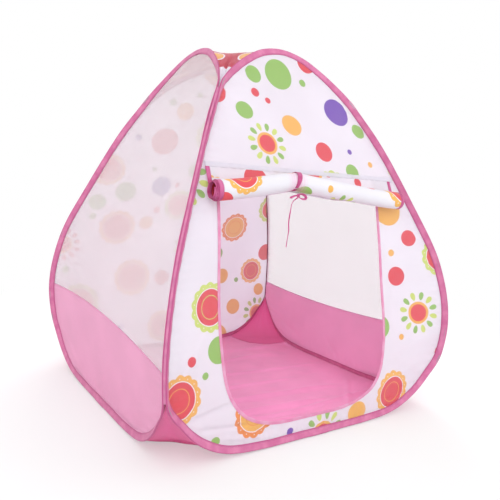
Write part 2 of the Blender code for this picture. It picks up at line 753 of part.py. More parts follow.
def unroll_pivot():
    """The roll comes down the bowed wall on an arc. Its centre is the pivot, its angle how far it goes."""
    centre = roll_centre(ROLL_HEIGHT)
    start = (-centre.y, centre.z)
    mid_height = (ROLL_HEIGHT + UNROLLED_HEIGHT) / 2
    away = FLAP_LAYER + ROLL_RADIUS + ROLL_CLEARANCE
    mid = wall_point(0, mid_height, lift=away)
    low = wall_point(0, UNROLLED_HEIGHT, lift=away)
    x, z = circle_through(start, (-mid.y, mid.z), (-low.y, low.z))
    first = math.atan2(start[1] - z, start[0] - x)
    last = math.atan2(low.z - z, -low.y - x)
    return Vector((0, -x, z)), math.degrees(first - last)


def make_unroll_pivot():
    """The empty on the arc's centre carries the roll."""
    centre, angle = unroll_pivot()
    print("unroll pivot", tuple(round(v, 4) for v in centre), "angle", round(angle, 2))
    pivot = bpy.data.objects.new("door_unroll_pivot", None)
    pivot.location = centre
    collection.objects.link(pivot)
    bpy.context.view_layer.update()
    for name in ("door_roll", "roll_left_hem", "roll_right_hem"):
        rolled = bpy.data.objects[name]
        rolled.parent = pivot
        rolled.matrix_parent_inverse = pivot.matrix_world.inverted()


def as_mesh(obj):
    """Turn a curve object into a welded mesh object, which a Boolean can take."""
    bpy.context.view_layer.update()
    evaluated = obj.evaluated_get(bpy.context.evaluated_depsgraph_get())
    mesh = bpy.data.meshes.new_from_object(evaluated)
    bm = bmesh.new()
    bm.from_mesh(mesh)
    bmesh.ops.remove_doubles(bm, verts=bm.verts, dist=WELD)
    bmesh.ops.recalc_face_normals(bm, faces=bm.faces)
    bm.to_mesh(mesh)
    bm.free()
    made = bpy.data.objects.new(obj.name, mesh)
    made.matrix_world = obj.matrix_world
    name = obj.name
    collection.objects.link(made)
    bpy.data.objects.remove(obj, do_unlink=True)
    made.name = name
    return made


def joined_to(obj, other):
    """Union another mesh object into obj, and keep the other only as a hidden guide."""
    union = obj.modifiers.new("joined", "BOOLEAN")
    union.operation = "UNION"
    union.object = other
    union.solver = "EXACT"
    collection.objects.unlink(other)
    cutters.objects.link(other)
    other.hide_render = True
    other.display_type = "WIRE"


def tangent_angle(start, radius, height):
    """Where a ribbon that comes down from the start first touches a circle round the roll."""
    away = start - roll_centre(height)
    normal = wall_normal(height)
    back = -away.dot(normal)
    rise = away.dot(Vector((0, normal.z, -normal.y)))
    return -math.atan2(rise, back) - math.acos(min(radius / away.length, 1.0))


def make_tie():
    """Two ribbons from the header, before and behind the roll, a bow in front of it and the long tail."""
    seat = roll_height(TIE_PLACE)
    slant = seat - roll_height(TIE_PLACE - RIBBON_WIDTH / 2)
    ring = ROLL_RADIUS + slant + GAP + RIBBON / 2
    start = wall_point(0, FLAP_TOP - GAP, lift=FLAP_LAYER + CLOTH / 2 + GAP + RIBBON / 2)
    swing = tangent_angle(start, ring, seat)
    front = [(-start.y, start.z)]
    steps = 10
    stop = KNOT_ANGLE + RIBBON_STOP_ANGLE - 2 * math.pi
    for k in range(steps + 1):
        front.append(roll_point(swing + (stop - swing) * k / steps, ring, seat))
    half = RIBBON_WIDTH / 2
    beside("tie_front", thick_line(front, RIBBON), TIE_PLACE - half, TIE_PLACE + half, PINK_TAPE)
    lift = FLAP_LAYER - CLOTH / 2 - GAP - RIBBON / 2
    back = []
    for k in range(4):
        p = wall_point(0, FLAP_TOP - GAP + (seat - FLAP_TOP) * k / 3, lift=lift)
        back.append((-p.y, p.z))
    out = CLOTH + GAP + RIBBON / 2
    for k in range(1, 6):
        back.append(roll_point((KNOT_ANGLE - RIBBON_STOP_ANGLE) * k / 5, ring + out * (1 - k / 5), seat))
    beside("tie_back", thick_line(back, RIBBON), TIE_PLACE - half, TIE_PLACE + half, PINK_TAPE)
    out, height = roll_point(KNOT_ANGLE, ring + RIBBON / 2 + GAP + KNOT_RADIUS, seat)
    make_bow(Vector((TIE_PLACE, -out, height)))


def make_bow(place):
    """The knot, its loop to the right and its short end to the left as one piece, and the hanging tail."""
    bpy.ops.mesh.primitive_uv_sphere_add(segments=12, ring_count=8, radius=1, location=place)
    bow = bpy.context.object
    bow.name = "tie_bow"
    bow.scale = (KNOT_RADIUS, KNOT_RADIUS, KNOT_RADIUS)
    bpy.ops.object.transform_apply(location=False, rotation=False, scale=True)
    for holder in list(bow.users_collection):
        holder.objects.unlink(bow)
    finish(bow, PINK_TAPE)
    bow.data.shade_smooth()
    loop = []
    steps = 12
    for k in range(steps):
        turn = 2 * math.pi * k / steps
        wide = BOW_LENGTH / 2 * (1 - math.cos(turn))
        rise = BOW_LENGTH * BOW_SLIM_SHARE * math.sin(turn) - wide * BOW_DROOP_SHARE
        loop.append(place + Vector((wide, 0, rise)))
    right = as_mesh(tube("tie_bow_loop", loop, BOW_RADIUS, PINK_TAPE, cyclic=True))
    end = [place + Vector((-SHORT_END_LENGTH * k / 4, -KNOT_RADIUS * k / 8, -SHORT_END_DROOP * (k / 4) ** 2))
           for k in range(5)]
    short = as_mesh(tube("tie_bow_end", end, BOW_RADIUS, PINK_TAPE))
    joined_to(bow, right)
    joined_to(bow, short)
    route = [place + Vector(p) for p in TAIL_ROUTE]
    tail = along(curve_through(route, 8), TAIL_POINTS)
    tube("tie_tail", tail, TAIL_RADIUS, PINK_TAPE, resolution=2)


def between_tapes(index, aside):
    """A point beside a station of the front hoop's join, between its tape and its neighbour's."""
    point, out, normal = HOOP_FRAMES[index]
    return point - out * INSIDE - normal * (SLEEVE_RADIUS + GAP / 2 - aside)


def corner_rows():
    """The cloth between two hoops at the lower front left corner, row by row from the join to the ground."""
    rows = []
    inward = Vector((1, 1, 0)).normalized()
    for index in range(LOW_JOIN, STATION_COUNTS[0] - 1, -1):
        point, out, normal = HOOP_FRAMES[index]
        held = between_tapes(LOW_JOIN, CLOTH / 2) if index == LOW_JOIN else point - normal * INSIDE
        a = Vector((-held.x, held.y, held.z))
        b = Vector((held.y, -held.x, held.z))
        row = []
        for k in range(GUSSET_COLUMNS + 1):
            share = k / GUSSET_COLUMNS
            belly = math.sin(math.pi * share)
            spot = a.lerp(b, share) + inward * (a - b).length * GUSSET_TUCK_SHARE * belly
            if index == STATION_COUNTS[0]:
                spot.z += (CLOTH - spot.z) * belly
            row.append(spot)
        rows.append(row)
    return rows


def make_gussets():
    rows = corner_rows()
    names = {"front": "front_left_gusset", "left": "back_left_gusset", "back": "back_right_gusset",
             "right": "front_right_gusset"}
    for side, name in names.items():
        sheet(name, rows, PINK_CLOTH, side=side)


def turned(points, turn):
    c, s = math.cos(turn), math.sin(turn)
    return [Vector((p.x * c - p.y * s, p.x * s + p.y * c, p.z)) for p in points]


def make_floor():
    """The floor cloth. Its edge rises to the bindings, and the rest lies flat on the ground."""
    last = STATION_COUNTS[0]
    inward = Vector((1, 1, 0)).normalized()
    tuck = [p + inward * (CLOTH + GAP) for p in corner_rows()[-1]]
    lowest = [HOOP_FRAMES[(i) % len(HOOP)] for i in range(-(last - 1), last)]
    edge = [p - normal * INSIDE for p, out, normal in lowest]
    quarter = [tuck[0] + inward * CLOTH] + tuck[1:-1] + [tuck[-1] + inward * CLOTH]
    ring = []
    for side in ("front", "right", "back", "left"):
        turn = SIDE_TURNS[side]
        ring += turned(quarter[::-1], turn) + turned(sorted(edge, key=lambda p: p.x), turn)
    flat = [[Vector((p.x * share, p.y * share, CLOTH / 2)) for p in ring] for share in FLOOR_RING_SHARES]
    sheet("floor_cloth", [ring] + flat, PINK_CLOTH, True, Vector((0, 0, CLOTH / 2)))


def make_roof():
    """The cap inside the four rounded tops. It reaches down to where neighbouring hoops join."""
    spread = HOOP_FRAMES[HIGH_JOIN + 1:2 * TOP - HIGH_JOIN]
    arc = [p - normal * INSIDE for p, out, normal in spread] + [between_tapes(len(HOOP) - HIGH_JOIN, 0)]
    ring = []
    for side in ("front", "left", "back", "right"):
        ring += turned(arc, SIDE_TURNS[side])
    peak = max(p.z for p in ring) - ROOF_SAG
    rings = [ring]
    for share in ROOF_RING_SHARES:
        rise = []
        for p in ring:
            climb = share if p.z > peak else 1 - (1 - share) ** ROOF_STEEP_POWER
            rise.append(Vector((p.x * (1 - share), p.y * (1 - share), p.z + (peak - p.z) * climb)))
        rings.append(rise)
    sheet("roof_cap", rings, ROOF_PRINT, True, Vector((0, 0, peak)))


def make_corner_seams():
    """The rolled seam that joins neighbouring bindings, in the groove between them on the outside."""
    crown = CHANNEL_RADIUS * CROWN_SHARE
    slope = math.hypot(SLEEVE_RADIUS - crown, SLEEVE_RADIUS)
    away = crown + (CORNER_CORD_RADIUS + GAP) * slope / SLEEVE_RADIUS
    outside = Vector((-1, -1, 0)).normalized()
    line = []
    for index in range(LOW_JOIN, HIGH_JOIN + 1):
        p = HALF_LINE[index]
        corner = Vector((-(p.x - p.y) / 2, -(p.x - p.y) / 2, p.z))
        line.append(corner + outside * away)
    names = {"front": "front_left_seam", "left": "back_left_seam", "back": "back_right_seam",
             "right": "front_right_seam"}
    for side, name in names.items():
        tube(name, line, CORNER_CORD_RADIUS, PINK_TAPE, side=side)


make_hoops()
make_plain_walls()
make_front_cloth()
make_door_binding()
make_flap()
make_unroll_pivot()
make_tie()
make_gussets()
make_floor()
make_roof()
make_corner_seams()
bpy.context.view_layer.update()
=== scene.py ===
import math

import bpy
import numpy as np
from mathutils import Matrix, Vector, noise


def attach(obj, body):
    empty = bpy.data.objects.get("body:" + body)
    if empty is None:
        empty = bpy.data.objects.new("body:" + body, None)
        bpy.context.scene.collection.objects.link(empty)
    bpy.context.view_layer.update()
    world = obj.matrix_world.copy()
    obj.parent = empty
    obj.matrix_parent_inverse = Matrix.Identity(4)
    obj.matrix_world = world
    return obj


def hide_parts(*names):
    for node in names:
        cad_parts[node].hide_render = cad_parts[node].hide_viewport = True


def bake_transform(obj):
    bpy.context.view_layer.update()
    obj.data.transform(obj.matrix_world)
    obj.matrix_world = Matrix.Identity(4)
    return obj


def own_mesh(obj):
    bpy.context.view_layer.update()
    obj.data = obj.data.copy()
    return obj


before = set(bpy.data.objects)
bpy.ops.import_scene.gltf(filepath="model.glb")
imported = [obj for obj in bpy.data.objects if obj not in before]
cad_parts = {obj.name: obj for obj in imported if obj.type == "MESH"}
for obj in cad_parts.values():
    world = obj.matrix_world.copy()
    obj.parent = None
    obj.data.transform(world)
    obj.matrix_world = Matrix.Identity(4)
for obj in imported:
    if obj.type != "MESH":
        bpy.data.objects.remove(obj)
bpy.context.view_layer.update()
bpy.ops.object.select_all(action="DESELECT")
print("frame loaded")


# the camera, fitted to the hoops' outlines in the photo
cameraSetup = {
    "place": (-0.8453, -1.2987, 0.5607),
    "turn": -34.356,       # degrees round the tent, from straight in front
    "tilt": 6.124,
    "roll": 3.337,
    "lens": 38.77,
    "sensor": 36.0,
    "near": 0.01,
}


def setCamera():
    turn, tilt, roll = (math.radians(cameraSetup[key]) for key in ("turn", "tilt", "roll"))
    back = Vector((math.sin(turn) * math.cos(tilt), -math.cos(turn) * math.cos(tilt), math.sin(tilt)))
    right = (-back).cross(Vector((0, 0, 1))).normalized()
    up = right.cross(-back).normalized()
    axisX = right * math.cos(roll) + up * math.sin(roll)
    axisY = up * math.cos(roll) - right * math.sin(roll)
    bpy.ops.object.camera_add(location=cameraSetup["place"])
    camera = bpy.context.object
    camera.name = "photoCamera"
    turned = Matrix((axisX, axisY, back)).transposed().to_4x4()
    camera.matrix_world = Matrix.Translation(cameraSetup["place"]) @ turned
    camera.data.lens = cameraSetup["lens"]
    camera.data.sensor_width = cameraSetup["sensor"]
    camera.data.clip_start = cameraSetup["near"]
    bpy.context.scene.camera = camera


setCamera()
print("camera set")


# shader helpers

class Paint:  # a socket that sums and products can be written with
    def __init__(self, tree, socket=None):
        self.tree = tree
        self.socket = socket

    def node(self, kind, settings=None, values=None, out=0):
        made = self.tree.nodes.new("ShaderNode" + kind)
        for key, value in (settings or {}).items():
            setattr(made, key, value)
        for slot, value in (values or {}).items():
            if isinstance(value, Paint):
                self.tree.links.new(value.socket, made.inputs[slot])
            else:
                made.inputs[slot].default_value = value
        return Paint(self.tree, made.outputs[out])

    def output(self, key):  # another output of the same node
        return Paint(self.tree, self.socket.node.outputs[key])

    def maths(self, operation, first, second=0.0):
        return self.node("Math", {"operation": operation}, {0: first, 1: second})

    def __add__(self, other):
        return self.maths("ADD", self, other)

    def __sub__(self, other):
        return self.maths("SUBTRACT", self, other)

    def __rsub__(self, other):
        return self.maths("SUBTRACT", other, self)

    def __mul__(self, other):
        return self.maths("MULTIPLY", self, other)

    def __truediv__(self, other):
        return self.maths("DIVIDE", self, other)

    def __lt__(self, other):
        return self.maths("LESS_THAN", self, other)

    def __gt__(self, other):
        return self.maths("GREATER_THAN", self, other)

    def __abs__(self):
        return self.maths("ABSOLUTE", self)

    def sine(self):
        return self.maths("SINE", self)

    def rest(self):  # what is past the whole number
        return self.maths("FRACT", self)

    def within(self, low, high):  # 0 below low, 1 above high, soft between
        return self.node("MapRange", {"interpolation_type": "SMOOTHSTEP"}, {0: self, 1: low, 2: high})

    def blend(self, first, second):  # a colour, from first to second as this goes from 0 to 1
        return self.node("Mix", {"data_type": "RGBA"}, {0: self, 6: first, 7: second}, 2)

    def bands(self, stops):  # one of a few colours, by the stop that this has passed
        made = self.node("ValToRGB", None, {0: self})
        ramp = made.socket.node.color_ramp
        while len(ramp.elements) < len(stops):
            ramp.elements.new(1.0)
        for element, (place, colour) in zip(ramp.elements, stops):
            element.position = place
            element.color = colour
        ramp.interpolation = "CONSTANT"
        return made


def srgb(red, green, blue):
    def line(value):
        share = value / 255
        return share / 12.92 if share <= 0.04045 else ((share + 0.055) / 1.055) ** 2.4
    return (line(red), line(green), line(blue), 1.0)


def darker(dye, share):
    return (*[value * share for value in dye[:3]], 1.0)


def newLook(name, roughness, **constants):
    look = bpy.data.materials.new(name)
    look.use_nodes = True
    skin = look.node_tree.nodes["Principled BSDF"]
    skin.inputs["Roughness"].default_value = roughness
    for key, value in constants.items():
        skin.inputs[key.replace("_", " ")].default_value = value
    return look, Paint(look.node_tree), skin


def feed(paint, skin, socket, value):
    paint.tree.links.new(value.socket, skin.inputs[socket])


def mixSurface(look, paint, skin, share, other):
    mixed = paint.node("MixShader", None, {0: share, 1: Paint(paint.tree, skin.outputs[0]), 2: other})
    paint.tree.links.new(mixed.socket, look.node_tree.nodes["Material Output"].inputs["Surface"])


def clothPlace(paint):  # metres along and up the cut cloth
    return paint.node("UVMap", {"uv_map": "cut"})


def sides(paint, spot):
    split = paint.node("SeparateXYZ", None, {0: spot})
    return split, split.output(1)


def lengthOf(paint, spot):
    return paint.node("VectorMath", {"operation": "LENGTH"}, {0: spot}).output("Value")


def angleOf(paint, spot):
    across, up = sides(paint, spot)
    return paint.maths("ARCTAN2", up, across)


def objectPlace(paint):
    return paint.node("TexCoord").output("Object")


def mottled(paint, cut, scale, detail, low, high, dark, light):
    cloudy = paint.node("TexNoise", None, {"Vector": cut, "Scale": scale, "Detail": detail})
    return cloudy.within(low, high).blend(dark, light)


def bump(paint, strength, distance, height, **more):
    return paint.node("Bump", None, {"Strength": strength, "Distance": distance, "Height": height, **more})


def weaveBump(paint, spot, pitch, strength, crease=0.0008):
    across, up = sides(paint, spot)
    turn = 2 * math.pi / pitch
    threads = (across * turn).sine() * 0.5 + (up * turn).sine() * 0.5
    soft = paint.node("TexNoise", None, {"Vector": spot, "Scale": 26.0, "Detail": 3.0, "Roughness": 0.55})
    return bump(paint, strength, pitch / 4, threads, Normal=bump(paint, 0.35, crease, soft))


def letLightThrough(look, paint, skin, colour, share, ink=None):
    glow = paint.node("BsdfTranslucent", None, {0: colour})
    if ink:  # printed places hold back more of the light
        strong = paint.node("SeparateColor", {"mode": "HSV"}, {0: ink})
        share = (1 - strong.output(1).within(0.05, 0.45) * 0.30) * share
    mixSurface(look, paint, skin, share, glow)


dyes = {  # the colours that the tent is made in, with the tape's painted shade and a lit copy of the gauze
    "white": srgb(244, 242, 250),
    "tape": srgb(240, 148, 192),
    "tapeDark": srgb(222, 118, 170),
    # painted shade of the tape, over the wire and along its edges
    "tapeShade": srgb(202, 92, 148),
    "binding": srgb(244, 184, 216),
    "ribbon": srgb(226, 118, 174),
    "ribbonDark": srgb(196, 66, 130),
    "seam": srgb(212, 126, 170),
    "skirt": srgb(248, 194, 224),
    "floor": srgb(250, 156, 204),
    "gusset": srgb(244, 146, 196),
    "gauze": srgb(237, 234, 240),
    "gauzeLit": srgb(253, 252, 254),
    "red": srgb(228, 74, 84),
    "darkRed": srgb(196, 30, 56),
    "green": srgb(150, 196, 98),
    "lime": srgb(208, 224, 112),
    "amber": srgb(244, 186, 88),
    "violet": srgb(116, 78, 184),
    "orange": srgb(240, 146, 66),
}


# printed cloth: ringed discs, suns, plain discs and dots. Each size has its own cells, loose enough to look
# scattered and tight enough that no motif is cut, and a smaller one shows only where it is clear of the larger ones

printPlan = {
    "turn": 0.45,          # the rows of cells are turned, so that they don't run along the seams
    "gap": 0.006,          # metres kept clear between motifs
    "big": {"cell": 0.194, "loose": 0.32, "least": 0.048, "spread": 0.017},
    "middle": {"cell": 0.112, "loose": 0.38, "least": 0.021, "spread": 0.013, "shown": 0.94},
    "dot": {"cell": 0.066, "loose": 0.60, "least": 0.007, "spread": 0.005, "shown": 0.50},
    "kinds": (0.52, 0.76),   # a big motif is ringed below the first, a sun between them and a plain disc above
    "scallops": 14,
    "beadsAt": 0.83,         # these are shares of the motif's radius
    "bead": 0.026,
    "rays": 12,
    "raysAt": 0.79,
    "ray": (0.115, 0.19),
    "weave": (0.0007, 0.25),
}
plainTones = [(0.0, dyes["green"]), (0.24, dyes["red"]), (0.44, dyes["violet"]), (0.64, dyes["amber"]),
              (0.84, dyes["green"])]
heartTones = [(0.0, dyes["red"]), (0.40, dyes["amber"]), (0.70, dyes["red"])]
borderTones = [(0.0, dyes["lime"]), (0.40, dyes["orange"]), (0.70, dyes["amber"])]


def scatter(paint, spot, size):
    plan = printPlan[size]
    values = {"Vector": spot, "Scale": 1 / plan["cell"], "Randomness": plan["loose"]}
    grid = paint.node("TexVoronoi", {"voronoi_dimensions": "2D"}, values)
    middle = grid.output("Position")
    dice = paint.node("SeparateColor", None, {0: grid.output("Color")})
    away = paint.node("VectorMath", {"operation": "SUBTRACT"}, {0: spot, 1: middle})
    return {"middle": middle, "away": away, "radius": lengthOf(paint, away),
            "outer": dice * plan["spread"] + plan["least"], "kind": dice.output(1), "tint": dice.output(2)}


def clearOf(paint, motif, size):  # 1 where the motif's middle is far enough from a larger one
    larger = scatter(paint, motif["middle"], size)
    return larger["radius"] > larger["outer"] + motif["outer"] + printPlan["gap"]


def between(value, low, high):
    return (value > low) * (value < high)


def printColour(paint, spot, ground):
    plan = printPlan
    big = scatter(paint, spot, "big")
    kind, share = big["kind"], big["radius"] / big["outer"]
    angle = angleOf(paint, big["away"])
    heart, border, plain = (big["tint"].bands(tones) for tones in (heartTones, borderTones, plainTones))
    white, amber = dyes["white"], dyes["amber"]

    ringed = kind < plan["kinds"][0]  # a disc in a scalloped ring with pale beads
    scallop = abs((angle * (plan["scallops"] / 2)).sine()) * 0.09 + 0.89
    bead = (angle * (plan["scallops"] / (2 * math.pi))).rest() - 0.5
    aside, out = bead * (2 * math.pi / plan["scallops"] * plan["beadsAt"]), share - plan["beadsAt"]
    beads = aside * aside + out * out < plan["bead"] ** 2
    pattern = ground
    for shown, colour in ((share < scallop, border), (beads, white), (share < 0.74, white), (share < 0.70, heart),
                          (between(share, 0.44, 0.47), border)):
        pattern = (ringed * shown).blend(pattern, colour)

    sun = between(kind, *plan["kinds"])  # a disc with a ring of loose rays in two colours
    wide, tall = plan["ray"]
    ray = ((angle * (plan["rays"] / (2 * math.pi))).rest() - 0.5) * (2 * math.pi / plan["rays"] * 0.80 / wide)
    out = (share - plan["raysAt"]) / tall
    second = (angle * (plan["rays"] / (4 * math.pi))).rest() > 0.5
    rays = (big["tint"] > 0.5).blend(dyes["red"], second.blend(dyes["lime"], dyes["green"]))
    for shown, colour in ((ray * ray + out * out < 1.0, rays), (share < 0.52, amber), (share < 0.40, heart)):
        pattern = (sun * shown).blend(pattern, colour)

    disc = (kind > plan["kinds"][1]) * (share < 0.80)
    pattern = disc.blend(pattern, plain)

    for size, larger in (("middle", ("big",)), ("dot", ("big", "middle"))):
        motif = scatter(paint, spot, size)
        shown = motif["kind"] < plan[size]["shown"]
        for other in larger:
            shown = shown * clearOf(paint, motif, other)
        colour = motif["tint"].bands(plainTones)
        pattern = (shown * (motif["radius"] < motif["outer"])).blend(pattern, colour)
    return pattern


def printedLook(name, shift, through=0.46, inner=None, tiedAt=0.0, plainBelow=None):
    look, paint, skin = newLook(name, 0.62, Sheen_Weight=0.15)
    cut = clothPlace(paint)
    across, up = sides(paint, cut)
    moved = paint.node("Mapping", None, {0: cut, 1: (*shift, 0.0), 2: (0.0, 0.0, printPlan["turn"])})
    base = mottled(paint, cut, 7.0, 2.0, 0.25, 0.75, darker(dyes["white"], 0.95), dyes["white"])
    colour = printColour(paint, moved, base)
    if plainBelow:
        colour = (up < plainBelow).blend(colour, dyes["white"])
    if inner:  # the roll's inner turns, seen only at its ends
        colour = (up < inner).blend(colour, dyes["darkRed"])
        # partly painted shade: beside the tie the cloth is tinted pale pink in stripes along the gathers, for the
        # shaded folds there that catch pink light, and partly the pink inner cloth showing through
        gathers = (across * 900).sine() * 0.25 + 0.75
        pinkGatherShade = (1 - abs(across - tiedAt).within(0.008, 0.034)) * gathers * 0.55
        colour = pinkGatherShade.blend(colour, dyes["binding"])
    feed(paint, skin, "Base Color", colour)
    feed(paint, skin, "Normal", weaveBump(paint, cut, *printPlan["weave"]))
    letLightThrough(look, paint, skin, (0.93, 0.91, 0.94, 1.0), through, colour)
    return look


roofPrint = {"edge": 0.248, "scallop": 0.010, "leaves": 16, "leavesAt": 0.206, "leaf": 0.024, "heart": 0.075}


def roofLook(name, through=0.40):  # one large ringed motif round the middle of the cap
    plan = roofPrint
    look, paint, skin = newLook(name, 0.62, Sheen_Weight=0.15)
    cut = clothPlace(paint)
    away, angle = lengthOf(paint, cut), angleOf(paint, cut)
    edge = abs((angle * 12.0).sine()) * plan["scallop"]
    step = 2 * math.pi / plan["leaves"]
    leaf = ((angle * (1 / step)).rest() - 0.5) * (step * plan["leavesAt"] / plan["leaf"])
    out = (away - plan["leavesAt"]) / plan["leaf"]
    near = leaf * leaf + out * out
    colour = (away < edge + plan["edge"]).blend(dyes["white"], dyes["darkRed"])
    for shown, dye in ((near < 1.0, "white"), (near < 0.72, "amber"), (away < plan["heart"], "amber")):
        colour = shown.blend(colour, dyes[dye])
    feed(paint, skin, "Base Color", colour)
    feed(paint, skin, "Normal", weaveBump(paint, cut, *printPlan["weave"]))
    letLightThrough(look, paint, skin, (0.90, 0.87, 0.91, 1.0), through)
    return look


def plainLook(name, dye, through=0.42, crease=0.0008):
    look, paint, skin = newLook(name, 0.6, Sheen_Weight=0.15)
    cut = clothPlace(paint)
    feed(paint, skin, "Base Color", mottled(paint, cut, 9.0, 3.0, 0.3, 0.7, darker(dyes[dye], 0.92), dyes[dye]))
    feed(paint, skin, "Normal", weaveBump(paint, cut, 0.0006, 0.3, crease))
    if through:
        letLightThrough(look, paint, skin, dyes[dye], through)
    return look


def tapeLook(name, dye, dark, stitchRow=None, edge=None):
    look, paint, skin = newLook(name, 0.58, Sheen_Weight=0.2)
    cut = clothPlace(paint)
    across, along = sides(paint, cut)
    colour = mottled(paint, cut, 40.0, 2.0, 0.3, 0.75, dyes[dark], dyes[dye])
    if edge:  # painted shade: darker over the wire and along the cut edges, where the rounded tape turns away from the light
        away = abs(across)
        deep = 1 - away.within(edge[0], edge[0] + 0.0022) + away.within(edge[1], edge[1] + 0.0008)
        colour = deep.blend(colour, dyes["tapeShade"])
    ribs = (along * (2 * math.pi / 0.0009)).sine() * 0.5
    if stitchRow:  # a row of stitches on each leg of the folded tape
        row = abs(abs(across) - stitchRow) < 0.00035
        thread = row * ((along / 0.0028).rest() < 0.68)
        colour = thread.blend(colour, darker(dyes[dark], 0.62))
        ribs = ribs * 0.35 + thread
    feed(paint, skin, "Base Color", colour)
    feed(paint, skin, "Normal", bump(paint, 0.3, 0.0003, ribs))
    letLightThrough(look, paint, skin, dyes[dye], 0.28)
    return look


def gauzeLook(name, dye, cover):
    look, paint, skin = newLook(name, 0.7, Sheen_Weight=0.1)
    cut = clothPlace(paint)
    across, up = sides(paint, cut)
    turn = 2 * math.pi / 0.0011
    net = (across * turn).sine() * (up * turn).sine()
    filled = net * 0.08 + cover
    feed(paint, skin, "Base Color", mottled(paint, cut, 5.0, 2.0, 0.3, 0.7, darker(dye, 0.95), dye))
    feed(paint, skin, "Alpha", filled)
    feed(paint, skin, "Normal", bump(paint, 0.2, 0.0003, net))
    clear = paint.node("BsdfTransparent")  # the holes stay open in the part that glows
    glow = paint.node("BsdfTranslucent", None, {0: (0.86, 0.86, 0.87, 1.0)})
    mixSurface(look, paint, skin, 0.5, paint.node("MixShader", None, {0: 1 - filled, 1: glow, 2: clear}))
    return look


def steelLook():
    look, paint, skin = newLook("springSteel", 0.32, Metallic=1.0)
    grain = paint.node("TexNoise", None, {"Vector": objectPlace(paint), "Scale": 400.0, "Detail": 2.0})
    feed(paint, skin, "Base Color", grain.blend((0.36, 0.37, 0.39, 1.0), (0.55, 0.56, 0.58, 1.0)))
    return look


looks = {
    "tape": tapeLook("boundTape", "tape", "tapeDark", 0.0150, (0.0016, 0.0160)),
    "doorTape": tapeLook("doorTape", "binding", "tape"),
    "seam": tapeLook("cornerSeam", "seam", "tape"),
    "seamTape": plainLook("seamTape", "skirt", through=0.5),
    "ribbon": tapeLook("ribbonPink", "ribbon", "ribbonDark"),
    "front": printedLook("frontPrint", (0.031, 0.052)),
    "back": printedLook("backPrint", (0.41, 0.13)),
    "roll": printedLook("rollPrint", (0.17, 0.38), 0.2, -0.150, -0.078),
    "strip": printedLook("flapPrint", (0.62, 0.21), 0.40, plainBelow=-0.0215),
    "hem": plainLook("hemCloth", "white"),
    "roof": roofLook("roofPrint"),
    "skirt": plainLook("skirtCloth", "skirt"),
    "floor": plainLook("floorCloth", "floor", crease=0.0015, through=0),
    "gusset": plainLook("gussetCloth", "gusset", through=0.52),
    "leftGauze": gauzeLook("leftGauze", dyes["gauzeLit"], 0.50),
    "rightGauze": gauzeLook("rightGauze", dyes["gauze"], 0.44),
    "steel": steelLook(),
}
print("looks mixed")


# the shape that all walls share
hoopShape = {
    "height": 0.920,
    "width": 0.842,
    "base": 0.003740,      # the wire's height above the ground
    "corner": 0.0050770,   # how far the wire stands in from the corner
    "tape": 0.016,         # from the wire to the line where the cloth leaves the tape
    "rim": 0.0105,         # from the wire to the cloth's edge inside the tape
    "joinStart": 0.4300,   # along half a hoop, from the middle of the bottom
    "joinEnd": 1.1839,
    # how far the tape is turned in from its wall, in degrees, along half a hoop; on the join it faces its neighbour
    "turnIn": [(0.0, 22.5), (0.2467, 22.5), (0.2843, 27.0), (0.3220, 31.5), (0.3597, 36.0), (0.3975, 40.5),
               (0.4300, 45.0)],
    "turnOut": [(1.1839, 51.0), (1.2317, 36.0), (1.2782, 27.0), (1.3241, 18.0), (1.3693, 9.0), (1.4138, 2.7),
                (1.4578, 0.0)],
    "close": 8.0,          # degrees more on the join, so that the two tapes' edges meet
    "closeOver": 0.05,
    "turnBlur": 7,         # stations on each side
    "slopeBlur": 6,
    "lean": [(0.0, 0.940), (0.12, 0.975), (0.23, 1.0), (0.31, 0.992), (0.40, 0.957), (0.48, 0.906), (0.59, 0.806),
             (0.68, 0.722), (0.78, 0.622), (0.86, 0.522), (0.93, 0.442), (1.0, 0.370)],
    "low": [(0.0, 0.0), (0.33, 0.0), (0.585, 0.010), (0.755, 0.044), (0.880, 0.098)],
    "joined": [0.165, 0.30, 0.43, 0.57, 0.71, 0.855],
    "top": [(0.455, 0.893), (0.367, 0.929), (0.270, 0.960), (0.150, 0.988), (0.0, 1.0)],
    "turns": {"front": 0.0, "left": -math.pi / 2, "back": math.pi, "right": math.pi / 2},
}


def sideBySide(*measures):  # one row for each point
    return np.stack(measures, axis=-1)


def stationOf(share, count):
    return np.rint(share * count).astype(int)


def lengthsAlong(line):
    return np.concatenate(([0.0], np.cumsum(np.linalg.norm(np.diff(line, axis=0), axis=1))))


def unit(rows):
    return rows / np.linalg.norm(rows, axis=1)[:, None]


def runOf(line):  # the way along a line at each of its points
    return unit(np.gradient(line, axis=0))


def smooth(share):
    share = np.clip(share, 0, 1)
    return share * share * (3 - 2 * share)


def smoothAt(knots, where):
    last = len(knots) - 2
    cell = 0
    while cell < last and where > knots[cell + 1][0]:
        cell += 1
    (x0, y0), (x1, y1) = knots[cell], knots[cell + 1]
    before, after = knots[max(cell - 1, 0)], knots[min(cell + 2, len(knots) - 1)]
    slope0 = (y1 - before[1]) / (x1 - before[0])
    slope1 = (after[1] - y0) / (after[0] - x0)
    step = x1 - x0
    t = (where - x0) / step
    rise = y0 * (2 * t ** 3 - 3 * t ** 2 + 1) + y1 * (3 * t ** 2 - 2 * t ** 3)
    return rise + step * (slope0 * (t ** 3 - 2 * t ** 2 + t) + slope1 * (t ** 3 - t ** 2))


leanHeights = hoopShape["base"] + hoopShape["height"] * np.linspace(0, 1, 401)
leanOut = np.array([smoothAt(hoopShape["lean"], k / 400) for k in range(401)]) * hoopShape["width"] / 2
leanSlope = np.gradient(leanOut, leanHeights)


def hoopReach(z):  # how far a hoop stands out from the middle at a height
    return np.interp(z, leanHeights, leanOut)


